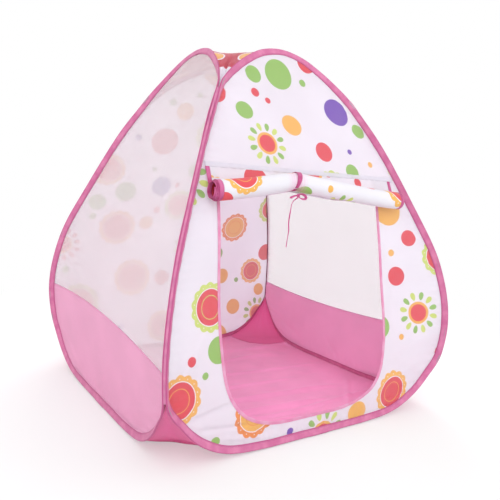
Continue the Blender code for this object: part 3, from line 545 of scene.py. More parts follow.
def curveThrough(points, count, beyond=None):
    line = []
    for i in range(len(points) - 1):
        p1, p2 = points[i], points[i + 1]
        p0 = points[i - 1] if i else p1 * 2 - p2
        p3 = points[i + 2] if i + 2 < len(points) else p2 * 2 - p1 if beyond is None else beyond
        for k in range(count):
            t = k / count
            line.append((p1 * 2 + (p2 - p0) * t + (p0 * 2 - p1 * 5 + p2 * 4 - p3) * t ** 2
                         + (p1 * 3 - p0 - p2 * 3 + p3) * t ** 3) / 2)
    line.append(points[-1] * 1.0)
    return np.array(line)


def evenly(line, count):  # count + 1 points at equal steps
    travelled = lengthsAlong(line)
    goals = np.linspace(0, travelled[-1], count + 1)
    return sideBySide(*[np.interp(goals, travelled, line[:, i]) for i in range(line.shape[1])])


def halfHoop(count):  # (across, height) from the middle of the bottom to the top
    half, low = hoopShape["width"] / 2, hoopShape["base"]
    corner = [np.array((a * half, low + b * hoopShape["height"])) for a, b in hoopShape["low"]]
    top = [np.array((a * half, low + b * hoopShape["height"])) for a, b in hoopShape["top"]]
    side = []
    for share in hoopShape["joined"]:
        z = low + share * hoopShape["height"]
        side.append(np.array((float(hoopReach(z)) - hoopShape["corner"], z)))
    line = curveThrough(corner + side + top, 24, top[-2] * (-1, 1))
    line[:, 1] = np.maximum(line[:, 1], low)
    line[:, 0] = np.minimum(line[:, 0], hoopReach(line[:, 1]) - hoopShape["corner"])
    line[0, 0] = line[-1, 0] = 0.0
    return evenly(line, count)


halfCount = 360  # stations of half a hoop
hoopHalf = halfHoop(halfCount)


def hoopFrames():
    # points of the front hoop, and the ways out along its tape and out of the tape's face, once round
    flat = np.concatenate([hoopHalf, (hoopHalf * (-1, 1))[-2:0:-1]])
    points = sideBySide(flat[:, 0], -hoopReach(flat[:, 1]), flat[:, 1])
    run = unit(np.roll(points, -1, axis=0) - np.roll(points, 1, axis=0))
    slope = np.interp(flat[:, 1], leanHeights, leanSlope)
    wall = unit(sideBySide(np.zeros_like(slope), -np.ones_like(slope), -slope))
    out = unit(np.cross(wall, run))
    out = np.where(((points - points.mean(axis=0)) * out).sum(axis=1)[:, None] < 0, -out, out)
    normal = unit(np.cross(run, out))
    normal = np.where(normal[:, 1:2] > 0, -normal, normal)
    along = lengthsAlong(points[:halfCount + 1])
    along = np.concatenate([along, along[-2:0:-1]])
    across = sideBySide(np.ones(len(flat)), np.where(flat[:, 0] > 0, 1.0, -1.0), np.zeros(len(flat)))
    face = unit(np.cross(np.cross(out, normal), across))
    facing = np.degrees(np.arctan2(np.abs((face * normal).sum(axis=1)), np.abs((face * out).sum(axis=1))))
    inJoin = np.minimum(along - hoopShape["joinStart"], hoopShape["joinEnd"] - along)
    facing += hoopShape["close"] * smooth(inJoin / hoopShape["closeOver"])
    low, high = np.array(hoopShape["turnIn"]), np.array(hoopShape["turnOut"])
    turn = np.where(along < hoopShape["joinStart"], np.interp(along, low[:, 0], low[:, 1]), facing)
    turn = np.where(along > hoopShape["joinEnd"], np.interp(along, high[:, 0], high[:, 1]), turn)
    blur = hoopShape["turnBlur"]
    window = np.hanning(blur * 2 + 1)
    turn = np.convolve(np.concatenate([turn[-blur:], turn, turn[:blur]]), window / window.sum(), "valid")
    c, n = np.cos(np.radians(turn))[:, None], np.sin(np.radians(turn))[:, None]
    return points, out * c + normal * n, normal * c - out * n, along


hoopPoints, tapeOut, tapeFace, hoopAlong = hoopFrames()
pastLine = hoopPoints - tapeOut * hoopShape["tape"]
rimLine = hoopPoints - tapeOut * hoopShape["rim"]
loopCount = len(hoopPoints)

# the wall's cloth runs level between its tapes: (height, out from the middle, half width), from the bottom up
firstRise = int(np.argmax(pastLine[:, 2] > pastLine[0, 2] + 0.0003))
wallRows = pastLine[firstRise:halfCount + 1, (2, 1, 0)] * (1, -1, 1)
rowHeights = wallRows[:, 0]
slopeBlur = hoopShape["slopeBlur"]
wallSlope = np.pad(np.gradient(wallRows[:, 1], rowHeights), slopeBlur, "edge")
wallSlope = np.convolve(wallSlope, np.ones(slopeBlur * 2 + 1) / (slopeBlur * 2 + 1), "valid")
rowsUp = np.concatenate(([0.0], np.cumsum(np.hypot(np.diff(rowHeights), np.diff(wallRows[:, 1])))))


def reach(z):  # how far the walls' cloth stands out from the middle at a height
    above = np.maximum(np.asarray(z, float) - rowHeights[-1], 0)
    return np.interp(z, rowHeights, wallRows[:, 1]) + wallSlope[-1] * above


def spanAt(z):  # half the cloth's width at a height
    return np.interp(z, rowHeights, wallRows[:, 2])


def wallNormal(z):  # the way out of the front wall, as (y, z)
    slope = np.interp(z, rowHeights, wallSlope)
    size = np.sqrt(1 + slope ** 2)
    return -1 / size, -slope / size


def wallAt(x, z, hollow=0.0, lift=0.0):  # a point of the front wall, drawn in by hollow and moved out by lift
    x, z = np.broadcast_arrays(np.asarray(x, float), np.asarray(z, float))
    share = np.clip((z - hoopShape["base"]) / hoopShape["height"], 0, 1)
    beside = np.clip(np.abs(x) / np.maximum(spanAt(z), 0.01), 0, 1)
    sunk = hollow * (1 - beside ** 2) * 4 * share * (1 - share)
    outY, outZ = wallNormal(z)
    return sideBySide(x, sunk - reach(z) + outY * lift, z + outZ * lift)


def loopAt(line, index):  # a point between the stations of a closed line
    index = np.asarray(index, float) % loopCount
    low = np.floor(index).astype(int)
    share = (index - low)[:, None]
    return line[low % loopCount] * (1 - share) + line[(low + 1) % loopCount] * share


def turnSide(points, side):
    turn = hoopShape["turns"][side]
    c, s = math.cos(turn), math.sin(turn)
    return points @ np.array([[c, s, 0], [-s, c, 0], [0, 0, 1]])


def settle(piece, body, node, slot):
    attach(piece, body)
    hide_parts(node)


sameSpot = 0.00001  # points closer than this are one
clothThick = 0.0005
outward = (0, -1, 0)  # out of the front wall, before a piece is turned to its side


# cloth is a grid whose points, and their places on the cut cloth, are functions of (u, v), both from 0 to 1
def layGrid(name, columns, rows, spots, cuts, look, side="front", thickness=0.0, faceOut=None, ends=False):
    bpy.ops.mesh.primitive_grid_add(x_subdivisions=columns, y_subdivisions=rows, size=2)
    cloth = bpy.context.object
    cloth.name = name
    mesh = cloth.data
    flat = np.zeros(len(mesh.vertices) * 3)
    mesh.vertices.foreach_get("co", flat)
    flat = flat.reshape(-1, 3)
    u, v = (flat[:, 0] + 1) / 2, (flat[:, 1] + 1) / 2
    placed = turnSide(spots(u, v), side)
    mesh.vertices.foreach_set("co", placed.ravel())
    cutAt = cuts(u, v)
    corners = np.zeros(len(mesh.loops), int)
    mesh.loops.foreach_get("vertex_index", corners)
    mesh.uv_layers[0].name = "cut"
    mesh.uv_layers[0].data.foreach_set("uv", cutAt[corners].ravel())
    mesh.update()
    bpy.ops.object.mode_set(mode="EDIT")
    bpy.ops.mesh.select_all(action="SELECT")
    bpy.ops.mesh.remove_doubles(threshold=sameSpot)
    bpy.ops.mesh.dissolve_degenerate(threshold=sameSpot)
    if ends:
        bpy.ops.mesh.select_all(action="SELECT")
        bpy.ops.mesh.fill_holes(sides=0)
    bpy.ops.mesh.select_all(action="SELECT")
    bpy.ops.mesh.normals_make_consistent(inside=False)
    bpy.ops.object.mode_set(mode="OBJECT")
    if faceOut is not None:
        facing = np.zeros(len(mesh.polygons) * 3)
        mesh.polygons.foreach_get("normal", facing)
        if (facing.reshape(-1, 3) @ turnSide(np.array([faceOut], float), side)[0]).sum() < 0:
            mesh.flip_normals()
    bpy.ops.object.shade_smooth()
    if thickness:
        shell = cloth.modifiers.new("thickness", "SOLIDIFY")
        shell.thickness = thickness
        shell.offset = 0.0
        bpy.ops.object.modifier_apply(modifier="thickness")
    cloth.data.materials.clear()
    cloth.data.materials.append(look)
    cloth.select_set(False)
    return cloth


def wrinkle(x, z, creases):  # depth of listed folds: (x0, z0, x1, z1, width, depth)
    total = np.zeros_like(x)
    for x0, z0, x1, z1, width, depth in creases:
        run = np.array((x1 - x0, z1 - z0))
        size = np.hypot(*run)
        run /= size
        along = ((x - x0) * run[0] + (z - z0) * run[1]) / size
        aside = (x - x0) * -run[1] + (z - z0) * run[0]
        fade = np.clip(np.minimum(along, 1 - along) * 4 + 0.6, 0, 1)
        total += depth * fade * np.exp(-(aside / width) ** 2)
    return total


def ripple(points, scale, seed, depth):  # soft uneven waves
    moved = [noise.noise(Vector((x * scale[0] + seed, z * scale[1] - seed, seed * 0.7))) for x, z in points]
    return np.array(moved) * depth


def edgeDistance(x, z):  # how far a point of the cloth is from the tape
    aside = np.maximum(spanAt(z) - np.abs(x), 0) * 0.8
    return np.minimum(aside, np.maximum(z - rowHeights[0], 0))


def edgePucker(x, z, depth=0.0010, pitch=0.021):
    near = edgeDistance(x, z)
    along = np.where(z - rowHeights[0] < spanAt(z) - np.abs(x), x, z)
    swell = smooth(near / 0.008) * np.exp(-near / 0.018)
    return depth * np.sin(along * 2 * math.pi / pitch + 2 * np.sin(along * 31)) * swell * 1.6


def cutOf(x, z):
    return sideBySide(x, np.interp(z, rowHeights, rowsUp))


# the long ribbon tail, a free cord
tailPlan = {
    "knot": (-0.0780, -0.3553, 0.5596),
    # from the middle of the knot
    "route": [(-0.0020, -0.0019, -0.0046), (-0.0080, -0.0028, -0.0076), (-0.0150, -0.0033, -0.0123),
              (-0.0198, -0.0033, -0.0198), (-0.0212, -0.0028, -0.0308), (-0.0235, -0.0023, -0.0491),
              (-0.0245, -0.0023, -0.0638), (-0.0230, -0.0023, -0.0790), (-0.0255, -0.0023, -0.0986),
              (-0.0275, -0.0023, -0.1156)],
    "width": 0.0034,
    "thick": 0.0016,
    "twists": 1.5,
}


def sweepPath(name, line, sectionAt, look, columns=14, side="front"):
    # a closed section carried along a line; sectionAt(angle, share) gives (aside, up) from the line
    travelled = lengthsAlong(line)
    run = runOf(line)
    level = unit(np.cross(run, (0.0, 1.0, 0.0)))
    face = np.cross(level, run)
    count = len(line) - 1

    def spots(u, v):
        index = np.clip(stationOf(v, count), 0, count)
        a, b = sectionAt(u * 2 * math.pi, travelled[index] / travelled[-1])
        return line[index] + level[index] * a[:, None] + face[index] * b[:, None]

    def cuts(u, v):
        index = np.clip(stationOf(v, count), 0, count)
        return sideBySide(u * 0.008, travelled[index])

    return layGrid(name, columns, count, spots, cuts, look, side, ends=True)


def makeTail():
    plan = tailPlan
    route = [np.array(plan["knot"]) + p for p in plan["route"]]
    line = evenly(curveThrough(route, 8), 70)

    def section(angle, share):
        turn = plan["twists"] * math.pi * share
        wide = plan["width"] / 2 * (1 - 0.25 * np.sin(share * 9) ** 2)
        a, b = np.cos(angle) * wide, np.sin(angle) * plan["thick"] / 2
        return a * np.cos(turn) - b * np.sin(turn), a * np.sin(turn) + b * np.cos(turn)

    tail = sweepPath("ribbonTail", line, section, looks["ribbon"])
    settle(tail, "tent", "tie_tail", "pink_ribbon")
    tuple(route[0])
    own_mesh(tail)


makeTail()


# hoop bindings: a tape folded over the wire, with a stitched edge
bindingPlan = {
    "wide": 0.0150,        # from the wire's line to the edge of the legs
    "slot": 0.0005,        # half the gap that holds the cloth
    "leg": 0.0006,
    "channel": 0.00148,    # inside radius round the wire
    "crown": 0.00215,
    "crimp": 0.42,         # how much the channel swells round the crimp, at the middle of the bottom
    "crimpEnd": 0.034,
    "crimpFade": 0.012,
    "pucker": 0.00030,
    "crownAt": 13,         # which point of the section is the crown
}


def arc(radius, degrees):
    return [(radius * math.cos(math.radians(angle)), radius * math.sin(math.radians(angle))) for angle in degrees]


def otherLeg(leg):  # of a folded tape's section
    return [(b, -n) for b, n in leg[::-1]]


def bindingSection():
    plan = bindingPlan
    tip, slot, leg = plan["wide"], plan["slot"], plan["leg"]
    face = slot + leg
    outside = [(-tip, slot + 0.0001), (-tip - 0.0002, slot + leg / 2), (-tip + 0.0001, face), (-0.0132, face + 0.0002),
               (-0.0123, face - 0.0002), (-0.0112, face + 0.0003), (-0.0080, face + 0.0002), (-0.0042, face + 0.0002),
               (-0.0017, 0.00165)]
    outside += arc(plan["crown"], (80, 60, 40, 20))
    ring = outside + [(plan["crown"], 0.0)] + otherLeg(outside)
    inner = [(-0.0026, -slot)] + arc(plan["channel"], (-150, -110, -70, -30, 0, 30, 70, 110, 150))
    return np.array(ring + inner + [(-0.0026, slot)])


def makeBindings():
    plan = bindingPlan
    section = bindingSection()
    across = lengthsAlong(np.concatenate([section, section[:1]]))
    across -= across[plan["crownAt"]]          # the stitches are measured from the crown on both sides
    for order, side in enumerate(hoopShape["turns"]):
        seed = order * 3.7

        def spots(u, v):
            index = stationOf(v, loopCount) % loopCount
            place = stationOf(u, len(section)) % len(section)
            b, n = section[place, 0], section[place, 1]
            share = np.clip(-b / plan["wide"], 0, 1)
            crimped = smooth((plan["crimpEnd"] - hoopAlong[index]) / plan["crimpFade"])
            swell = 1 + plan["crimp"] * crimped * (b > -0.0022)
            wave = np.sin(index * 2 * math.pi / 10.0 + 1.7 * np.sin(index * 0.073 + seed) + seed)
            n = n * swell + np.sign(n) * plan["pucker"] * wave * share * (np.abs(n) > plan["slot"] * 1.2)
            b = b * swell - share * plan["pucker"] * np.sin(index * 0.19 + seed)
            return hoopPoints[index] + tapeOut[index] * b[:, None] + tapeFace[index] * n[:, None]

        def cuts(u, v):
            place = stationOf(u, len(section))
            return sideBySide(across[place], v * 3.0)

        tape = layGrid(side + "Binding", len(section), loopCount, spots, cuts, looks["tape"], side)
        settle(tape, "tent", side + "_binding", "pink_tape")
    print("bindings folded")


makeBindings()


# the front wall, cut out for the doorway
doorPlan = {
    "centre": -0.0260,
    "half": 0.2430,
    "top": 0.6070,
    "sill": 0.0560,
    "shares": [(0.0, 0.0), (0.42, 0.004), (0.70, 0.040), (0.87, 0.105), (0.96, 0.20), (1.0, 0.36), (1.0, 0.55),
               (0.985, 0.76), (0.965, 1.0)],
    "columns": 520,
    "rows": 56,
    "inTape": 3,           # rows that lie inside the hoop's tape
    "rayHeight": 0.36,     # the cloth's columns run out from here to the hoop
    "pull": 0.044,
    "pullFrom": (0.085, 0.575),
    "pullOver": 0.36,      # share of the cloth's half width, from the tape inwards
    "creases": [(-0.35, 0.10, -0.23, 0.122, 0.005, -0.0046), (-0.33, 0.075, -0.21, 0.066, 0.005, -0.0042),
                (-0.31, 0.052, -0.18, 0.030, 0.006, 0.0044), (-0.19, 0.045, -0.15, 0.008, 0.006, 0.0030),
                (-0.09, 0.040, -0.08, 0.008, 0.005, 0.0025), (0.02, 0.045, 0.03, 0.008, 0.006, 0.0028),
                (0.13, 0.060, 0.16, 0.010, 0.007, 0.0026), (0.22, 0.10, 0.33, 0.13, 0.010, 0.0028),
                (0.24, 0.16, 0.37, 0.20, 0.012, 0.0022), (-0.36, 0.20, -0.31, 0.27, 0.010, 0.0020)],
}


def doorLine(count):
    plan = doorPlan
    tall = plan["top"] - plan["sill"]
    knots = [np.array((x * plan["half"], plan["sill"] + z * tall)) for x, z in plan["shares"]]
    half = evenly(curveThrough(knots, 12), count)
    line = np.concatenate([(half * (-1, 1))[:0:-1], half])
    return line + (plan["centre"], 0.0)


def rayMeets(line, middle, angles):  # where rays from middle cross a closed line
    off = line - middle
    turn = np.unwrap(np.arctan2(off[:, 1], off[:, 0]))
    if turn[-1] < turn[0]:
        off, turn = off[::-1], turn[::-1]
    radius = np.hypot(off[:, 0], off[:, 1])
    order = np.argsort(turn % (2 * math.pi))
    away = np.interp(angles, (turn % (2 * math.pi))[order], radius[order], period=2 * math.pi)
    return middle + sideBySide(np.cos(angles), np.sin(angles)) * away[:, None]


def rayIndex(line, middle, angles):  # the same, as a place along the line
    off = line - middle
    turn = np.unwrap(np.arctan2(off[:, 1], off[:, 0]))
    turn = np.append(turn, turn[0] + 2 * math.pi)
    return np.interp(turn[0] + (angles - turn[0]) % (2 * math.pi), turn, np.arange(len(turn)))


def drawnIn(x, z):  # how far the cloth beside the doorway is pulled in from its bowed hoop
    plan = doorPlan
    low, high = plan["pullFrom"]
    tall = np.sin(np.clip((z - low) / (high - low), 0, 1) * math.pi) ** 1.2
    aside = np.clip((1 - np.abs(x) / np.maximum(spanAt(z), 0.01)) / plan["pullOver"], 0, 1)
    return plan["pull"] * tall * (1 - (1 - aside) ** 1.3)


def frontAt(x, z, lift):
    spot = wallAt(x, z, lift=lift)
    spot[:, 1] += drawnIn(x, z)
    return spot


def makeFrontWall():
    plan = doorPlan
    door = doorLine(200)
    level = np.linspace(door[-1, 0], door[0, 0], 120)[1:-1]
    topEdge = sideBySide(level, np.full_like(level, plan["top"]))
    inner = np.concatenate([door, topEdge])
    middle = np.array((plan["centre"], plan["rayHeight"]))
    angles = np.linspace(0, 2 * math.pi, plan["columns"] + 1)
    low = rayMeets(inner, middle, angles)
    place = rayIndex(pastLine[:, (0, 2)], middle, angles)
    past, rim = loopAt(pastLine, place), loopAt(rimLine, place)
    last = 1 - plan["inTape"] / plan["rows"]

    def flatSpots(u, v):
        index = stationOf(u, plan["columns"])
        share = np.clip(v / last, 0, 1)[:, None]
        return low[index] * (1 - share) + past[index][:, (0, 2)] * share, index

    def spots(u, v):
        flat, index = flatSpots(u, v)
        x, z = flat[:, 0], flat[:, 1]
        toHoop = np.linalg.norm(past[index][:, (0, 2)] - flat, axis=1)
        toDoor = np.linalg.norm(low[index] - flat, axis=1)
        lift = wrinkle(x, z, plan["creases"]) + ripple(sideBySide(x, z), (9, 6), 2.3, 0.0035)
        lift = lift * smooth(toHoop / 0.026) * smooth(toDoor / 0.024) + edgePucker(x, z) * smooth(toDoor / 0.020)
        deep = np.clip((v - last) / (1 - last), 0, 1)[:, None]
        held = past[index] * (1 - deep) + rim[index] * deep
        return np.where(v[:, None] > last, held, frontAt(x, z, lift))

    def cuts(u, v):
        flat, index = flatSpots(u, v)
        return cutOf(flat[:, 0], flat[:, 1])

    wall = layGrid("frontWall", plan["columns"], plan["rows"], spots, cuts, looks["front"], "front", clothThick,
                   outward)
    settle(wall, "tent", "front_cloth", "printed_cloth")
    print("front wall cut")


makeFrontWall()


def makeDoorBinding():
    plan = doorPlan
    line = doorLine(180)
    run = runOf(line)
    inward = sideBySide(-run[:, 1], run[:, 0])
    fromMiddle = line - (plan["centre"], plan["rayHeight"])
    inward = np.where((fromMiddle * inward).sum(axis=1)[:, None] > 0, -inward, inward)
    leg = [(-0.0068, 0.0006), (-0.0069, 0.0009), (-0.0065, 0.0012), (-0.0054, 0.0010), (-0.0036, 0.0013),
           (-0.0015, 0.0014), (0.0001, 0.0012), (0.0008, 0.0006)]
    section = np.array(leg + [(0.0010, 0.0)] + otherLeg(leg) + [(-0.0006, -0.0004), (-0.0006, 0.0004)])
    count = len(line) - 1

    def spots(u, v):
        place, index = stationOf(u, len(section)) % len(section), stationOf(v, count)
        b, n = section[place, 0], section[place, 1]
        n = n * (1 + 0.16 * np.sin(index * 0.9 + np.sin(index * 0.11) * 2))
        return frontAt(*(line[index] + inward[index] * b[:, None]).T, n)

    def cuts(u, v):
        return sideBySide(u * 0.022, v * 1.5)

    tape = layGrid("doorBinding", len(section), count, spots, cuts, looks["doorTape"], ends=True)
    settle(tape, "tent", "door_binding", "pink_tape")
    print("doorway bound")


makeDoorBinding()


# back wall, side gauzes and skirts
wallPlan = {
    "hollow": 0.012,       # how far the cloth sags inwards at the middle
    "over": 0.05,          # share of the columns that lie inside the tapes
    "fade": 0.06,          # share of the rows over which folds die out at a seam
    "columns": 120,
    "rows": 150,
    "gauzeRows": 130,
    "skirtRows": 60,
    "gauzeThick": 0.0004,
    "left": (0.242, 0.240, 0.198),   # the seam's height at the left edge, the middle and the right edge
    "right": (0.213, 0.193, 0.213),
    "seamTape": 0.0032,
}


def seamAt(heights, x):
    low, mid, high = heights
    share = x / (hoopShape["width"] / 2)
    return mid + (high - low) / 2 * share + ((low + high) / 2 - mid) * share ** 2


def bandSpots(lowAt, highAt, creases, seed, waves=0.003, foot=0.0):
    # a band of a wall between two heights; the columns past the tapes' edges, and the foot rows, lie inside the tape
    over, fade = wallPlan["over"], wallPlan["fade"]

    def flatSpots(u, v):
        side = np.clip((u * 2 - 1) * (1 + over), -1, 1)
        up = np.clip((v - foot) / (1 - foot), 0, 1)
        low, high = np.full_like(u, 0.1), np.full_like(u, 0.8)
        for k in range(12):
            low = lowAt(side * spanAt(low))
            high = highAt(side * spanAt(high))
        warp = smooth(up) * 0.5 + up * 0.5
        z = low + (high - low) * warp
        return side * spanAt(z), z

    def spots(u, v):
        x, z = flatSpots(u, v)
        free = smooth(v / fade) * smooth((1 - v) / fade)
        lift = wrinkle(x, z, creases) + ripple(sideBySide(x, z), (7, 5), seed, waves)
        lift = lift * smooth(edgeDistance(x, z) / 0.026) * free + edgePucker(x, z) * free
        spot = wallAt(x, z, wallPlan["hollow"], lift)
        beyond = np.clip((np.abs(u * 2 - 1) * (1 + over) - 1) / over, 0, 1)
        below = np.clip((foot - v) / foot, 0, 1) if foot else np.zeros_like(v)
        up = np.interp(z, rowHeights, np.arange(firstRise, halfCount + 1))
        level = np.interp(np.abs(x), pastLine[:firstRise + 1, 0], np.arange(firstRise + 1))
        index = np.where((below > 0) & (beyond == 0), level, up)
        deep = np.maximum(beyond, below)[:, None]
        held = loopAt(pastLine, index) * (1 - deep) + loopAt(rimLine, index) * deep
        held[:, 0] = np.abs(held[:, 0]) * np.where(u < 0.5, -1, 1)
        return np.where(deep > 0, held, spot)

    def cuts(u, v):
        return cutOf(*flatSpots(u, v))

    return spots, cuts


backCreases = [(-0.30, 0.08, -0.16, 0.05, 0.012, 0.003), (0.12, 0.07, 0.30, 0.10, 0.012, 0.003),
               (-0.33, 0.2, -0.2, 0.24, 0.016, 0.002)]
skirtCreases = [(-0.34, 0.12, -0.20, 0.05, 0.012, 0.0022), (0.16, 0.05, 0.34, 0.11, 0.012, 0.0022),
                (-0.05, 0.02, 0.02, 0.08, 0.010, 0.0018)]
gauzeCreases = [(-0.33, 0.34, -0.16, 0.30, 0.020, 0.002), (0.1, 0.62, 0.25, 0.50, 0.020, 0.002)]


def makeWalls():
    plan = wallPlan

    def flatLow(x):
        return np.full_like(x, rowHeights[0])

    def flatTop(x):
        return np.full_like(x, rowHeights[-1] - 0.0001)

    spots, cuts = bandSpots(flatLow, flatTop, backCreases, 5.1, foot=0.02)
    back = layGrid("backWall", plan["columns"], plan["rows"], spots, cuts, looks["back"], "back", clothThick, outward)
    settle(back, "tent", "back_cloth", "printed_cloth")
    for side in ("left", "right"):
        heights = plan[side]
        spots, cuts = bandSpots(lambda x: seamAt(heights, x), flatTop, gauzeCreases, 8.3, 0.004)
        gauze = layGrid(side + "Gauze", plan["columns"], plan["gauzeRows"], spots, cuts, looks[side + "Gauze"], side,
                        plan["gauzeThick"], outward)
        settle(gauze, "tent", side + "_gauze", "white_gauze")
        spots, cuts = bandSpots(flatLow, lambda x: seamAt(heights, x) - 0.0003, skirtCreases, 11.9, foot=0.05)
        skirt = layGrid(side + "Skirt", plan["columns"], plan["skirtRows"], spots, cuts, looks["skirt"], side,
                        clothThick, outward)
        settle(skirt, "tent", side + "_skirt", "pink_cloth")
        makeSeamTape(side, heights)
    print("walls hung")


def makeSeamTape(side, heights):
    def spots(u, v):
        share = u * 2 - 1
        middle = seamAt(heights, share * 0.42)
        x = share * (spanAt(middle) - 0.0006)
        z = seamAt(heights, x) + (v - 0.5) * wallPlan["seamTape"]
        fold = 0.0004 * np.cos((v - 0.5) * math.pi) + 0.00015 * np.sin(x * 500)
        return wallAt(x, z, wallPlan["hollow"], 0.0007 + fold)

    def cuts(u, v):
        return sideBySide((v - 0.5) * wallPlan["seamTape"], u * 0.8)

    tape = layGrid(side + "SeamTape", 220, 6, spots, cuts, looks["seamTape"], side, clothThick, outward)
    settle(tape, "tent", side + "_seam_tape", "pink_tape")


makeWalls()


# the door flap: header seam, the strip below it, and the roll
flapPlan = {
    "left": -0.2890,
    "right": 0.2750,
    "hem": 0.010,
    "layer": 0.0027,       # how far the flap lies outside the wall
    "headerLow": 0.608,
    "headerLeft": -0.2885,
    "headerRight": 0.2850,
    "pleat": 0.0022,       # gathers of the strip beside the ribbon
    "behind": 0.016,       # how far the strip goes on down behind the roll at the ribbon
    "gives": (0.586, 0.5645),  # heights of two points of the strip, top and foot
}
rollPlan = {
    "left": -0.2910,
    "right": 0.2620,
    "height": 0.5510,
    "rise": 0.030,
    "bend": 1.25,
    "radius": 0.0220,
    "core": 0.0160,
    "turns": 3.5,
    "telescope": 0.012,    # how far the inner turns stick out at the left end
    "squeeze": 0.10,
    "around": 126,
}
tiePlan = {
    "place": -0.0780,
    "wide": 0.0135,
    "narrow": 0.0090,
    "gatherFrom": 0.62,    # shares of the length
    "gatherOver": 0.36,
    "fold": 0.0009,
    "lean": 0.024,         # the ribbon comes down to the knot a little aslant
    "knotAngle": 105,
    "near": 0.10,          # radians that the ribbon stops short of the knot's middle
    "top": 0.6083,
    "stations": 90,
}


def rollHeight(x):
    x = np.asarray(x, float)
    end = np.where(x < tiePlan["place"], rollPlan["left"], rollPlan["right"])
    away = np.clip((x - tiePlan["place"]) / (end - tiePlan["place"]), 0, 1)
    return rollPlan["height"] + rollPlan["rise"] * (1 - away) ** rollPlan["bend"]


def rollSpot(x, angle, radius):  # angle 0 is at the wall, and it grows downward and outward
    height = rollHeight(x)
    ny, nz = wallNormal(height)
    base = wallAt(x, height, lift=flapPlan["layer"])
    full = rollPlan["radius"]
    back, down = radius * np.cos(angle), radius * np.sin(angle)
    y = base[..., 1] + ny * full - ny * back - nz * down
    z = base[..., 2] + nz * full - nz * back + ny * down
    return sideBySide(np.broadcast_to(x, y.shape), y, z)


def rollRadius(x, angle):
    share = angle / (2 * math.pi * rollPlan["turns"])
    radius = rollPlan["radius"] - (rollPlan["radius"] - rollPlan["core"]) * share
    aside = x - tiePlan["place"]
    pinch = -rollPlan["squeeze"] * np.exp(-(aside / 0.018) ** 2)
    soft = 0.022 * np.cos(angle * 2 + x * 9) + 0.012 * np.sin(x * 37 + np.cos(angle) * 2.0)
    creases = 0.007 * np.exp(-np.abs(aside) / 0.07) * np.cos(angle * 9 + aside * 60)
    return radius * (1 + pinch + soft * np.clip(np.abs(aside) / 0.03, 0, 1) + creases)


def stripLift(x, v):
    away = np.abs(x - tiePlan["place"])
    loose = np.sin(v * math.pi)
    pleats = flapPlan["pleat"] * np.cos(away * 2 * math.pi / 0.0105) * np.exp(-(away / 0.030) ** 2)
    slack = 0.0016 * np.sin(x * 41 + 1.3)
    return np.maximum(pleats * loose + slack * loose, -0.0006)


def makeHeader():
    plan = flapPlan
    section = np.array([(0.0, 0.0012), (0.0, 0.0030), (0.0012, 0.0036), (0.0040, 0.0035), (0.0075, 0.0033),
                        (0.0085, 0.0029), (0.0095, 0.0032), (0.0108, 0.0028), (0.0110, 0.0014), (0.0060, 0.0012)])

    def spots(u, v):
        place = stationOf(u, len(section)) % len(section)
        up, lift = section[place, 0], section[place, 1]
        x = plan["headerLeft"] + (plan["headerRight"] - plan["headerLeft"]) * v
        puff = np.where(lift > 0.002, 0.0003 * np.sin(x * 300 + 2 * np.sin(x * 37)), 0)
        return wallAt(x, plan["headerLow"] + up, lift=lift + puff)

    def cuts(u, v):
        return sideBySide(v * 0.573, u * 0.026)

    header = layGrid("doorHeader", len(section), 200, spots, cuts, looks["hem"], ends=True)
    settle(header, "tent", "door_header", "printed_cloth")


def makeStrip():
    plan = flapPlan
    edges = (plan["left"], plan["left"] + plan["hem"], plan["right"] - plan["hem"], plan["right"])
    parts = [("flapStrip", "door_flap", edges[1], edges[2], 220, 0.0006, "strip", "printed_cloth"),
             ("flapLeftHem", "flap_left_hem", edges[0], edges[1], 8, 0.0013, "ribbon", "pink_tape"),
             ("flapRightHem", "flap_right_hem", edges[2], edges[3], 8, 0.0013, "ribbon", "pink_tape")]
    for name, node, left, right, columns, thick, look, slot in parts:
        def spots(u, v):
            x = left + (right - left) * u
            low = np.maximum(rollHeight(x) - plan["behind"], rollPlan["height"]) + 0.0003
            z = plan["headerLow"] + 0.0006 + (low - plan["headerLow"] - 0.0006) * v
            return wallAt(x, z, lift=plan["layer"] + stripLift(x, v))

        def cuts(u, v):
            placed = spots(u, v)
            return sideBySide(placed[:, 0], placed[:, 2] - plan["headerLow"])

        piece = layGrid(name, columns, 64, spots, cuts, looks[look], "front", thick, outward)
        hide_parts(node)
        name == "flapStrip"
        top, foot = (wallAt(0.0, z, lift=plan["layer"]) for z in plan["gives"])
        tuple(top)
        tuple(foot)
        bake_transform(piece)


def makeRoll():
    plan = rollPlan
    whole = 2 * math.pi * plan["turns"]
    seam = flapPlan["hem"]
    parts = [("doorRoll", "door_roll", 150, 0.0006, "roll", "printed_cloth"),
             ("rollLeftHem", "roll_left_hem", 6, 0.0012, "ribbon", "pink_tape"),
             ("rollRightHem", "roll_right_hem", 6, 0.0012, "ribbon", "pink_tape")]
    for name, node, columns, thick, look, slot in parts:
        def place(u, angle):
            left = plan["left"] + 0.004 - plan["telescope"] * angle / whole
            right = plan["right"] + 0.001 * np.sin(angle)
            if name == "doorRoll":
                return left + seam + (right - left - 2 * seam) * u
            return left + seam * u if name == "rollLeftHem" else right - seam + seam * u

        def spots(u, v):
            angle = v * whole
            x = place(u, angle)
            return rollSpot(x, angle, rollRadius(x, angle))

        def cuts(u, v):
            return sideBySide(place(u, v * whole), -v * whole * 0.019)

        piece = layGrid(name, columns, plan["around"], spots, cuts, looks[look], thickness=thick)
        settle(piece, "door_roll", node, slot)


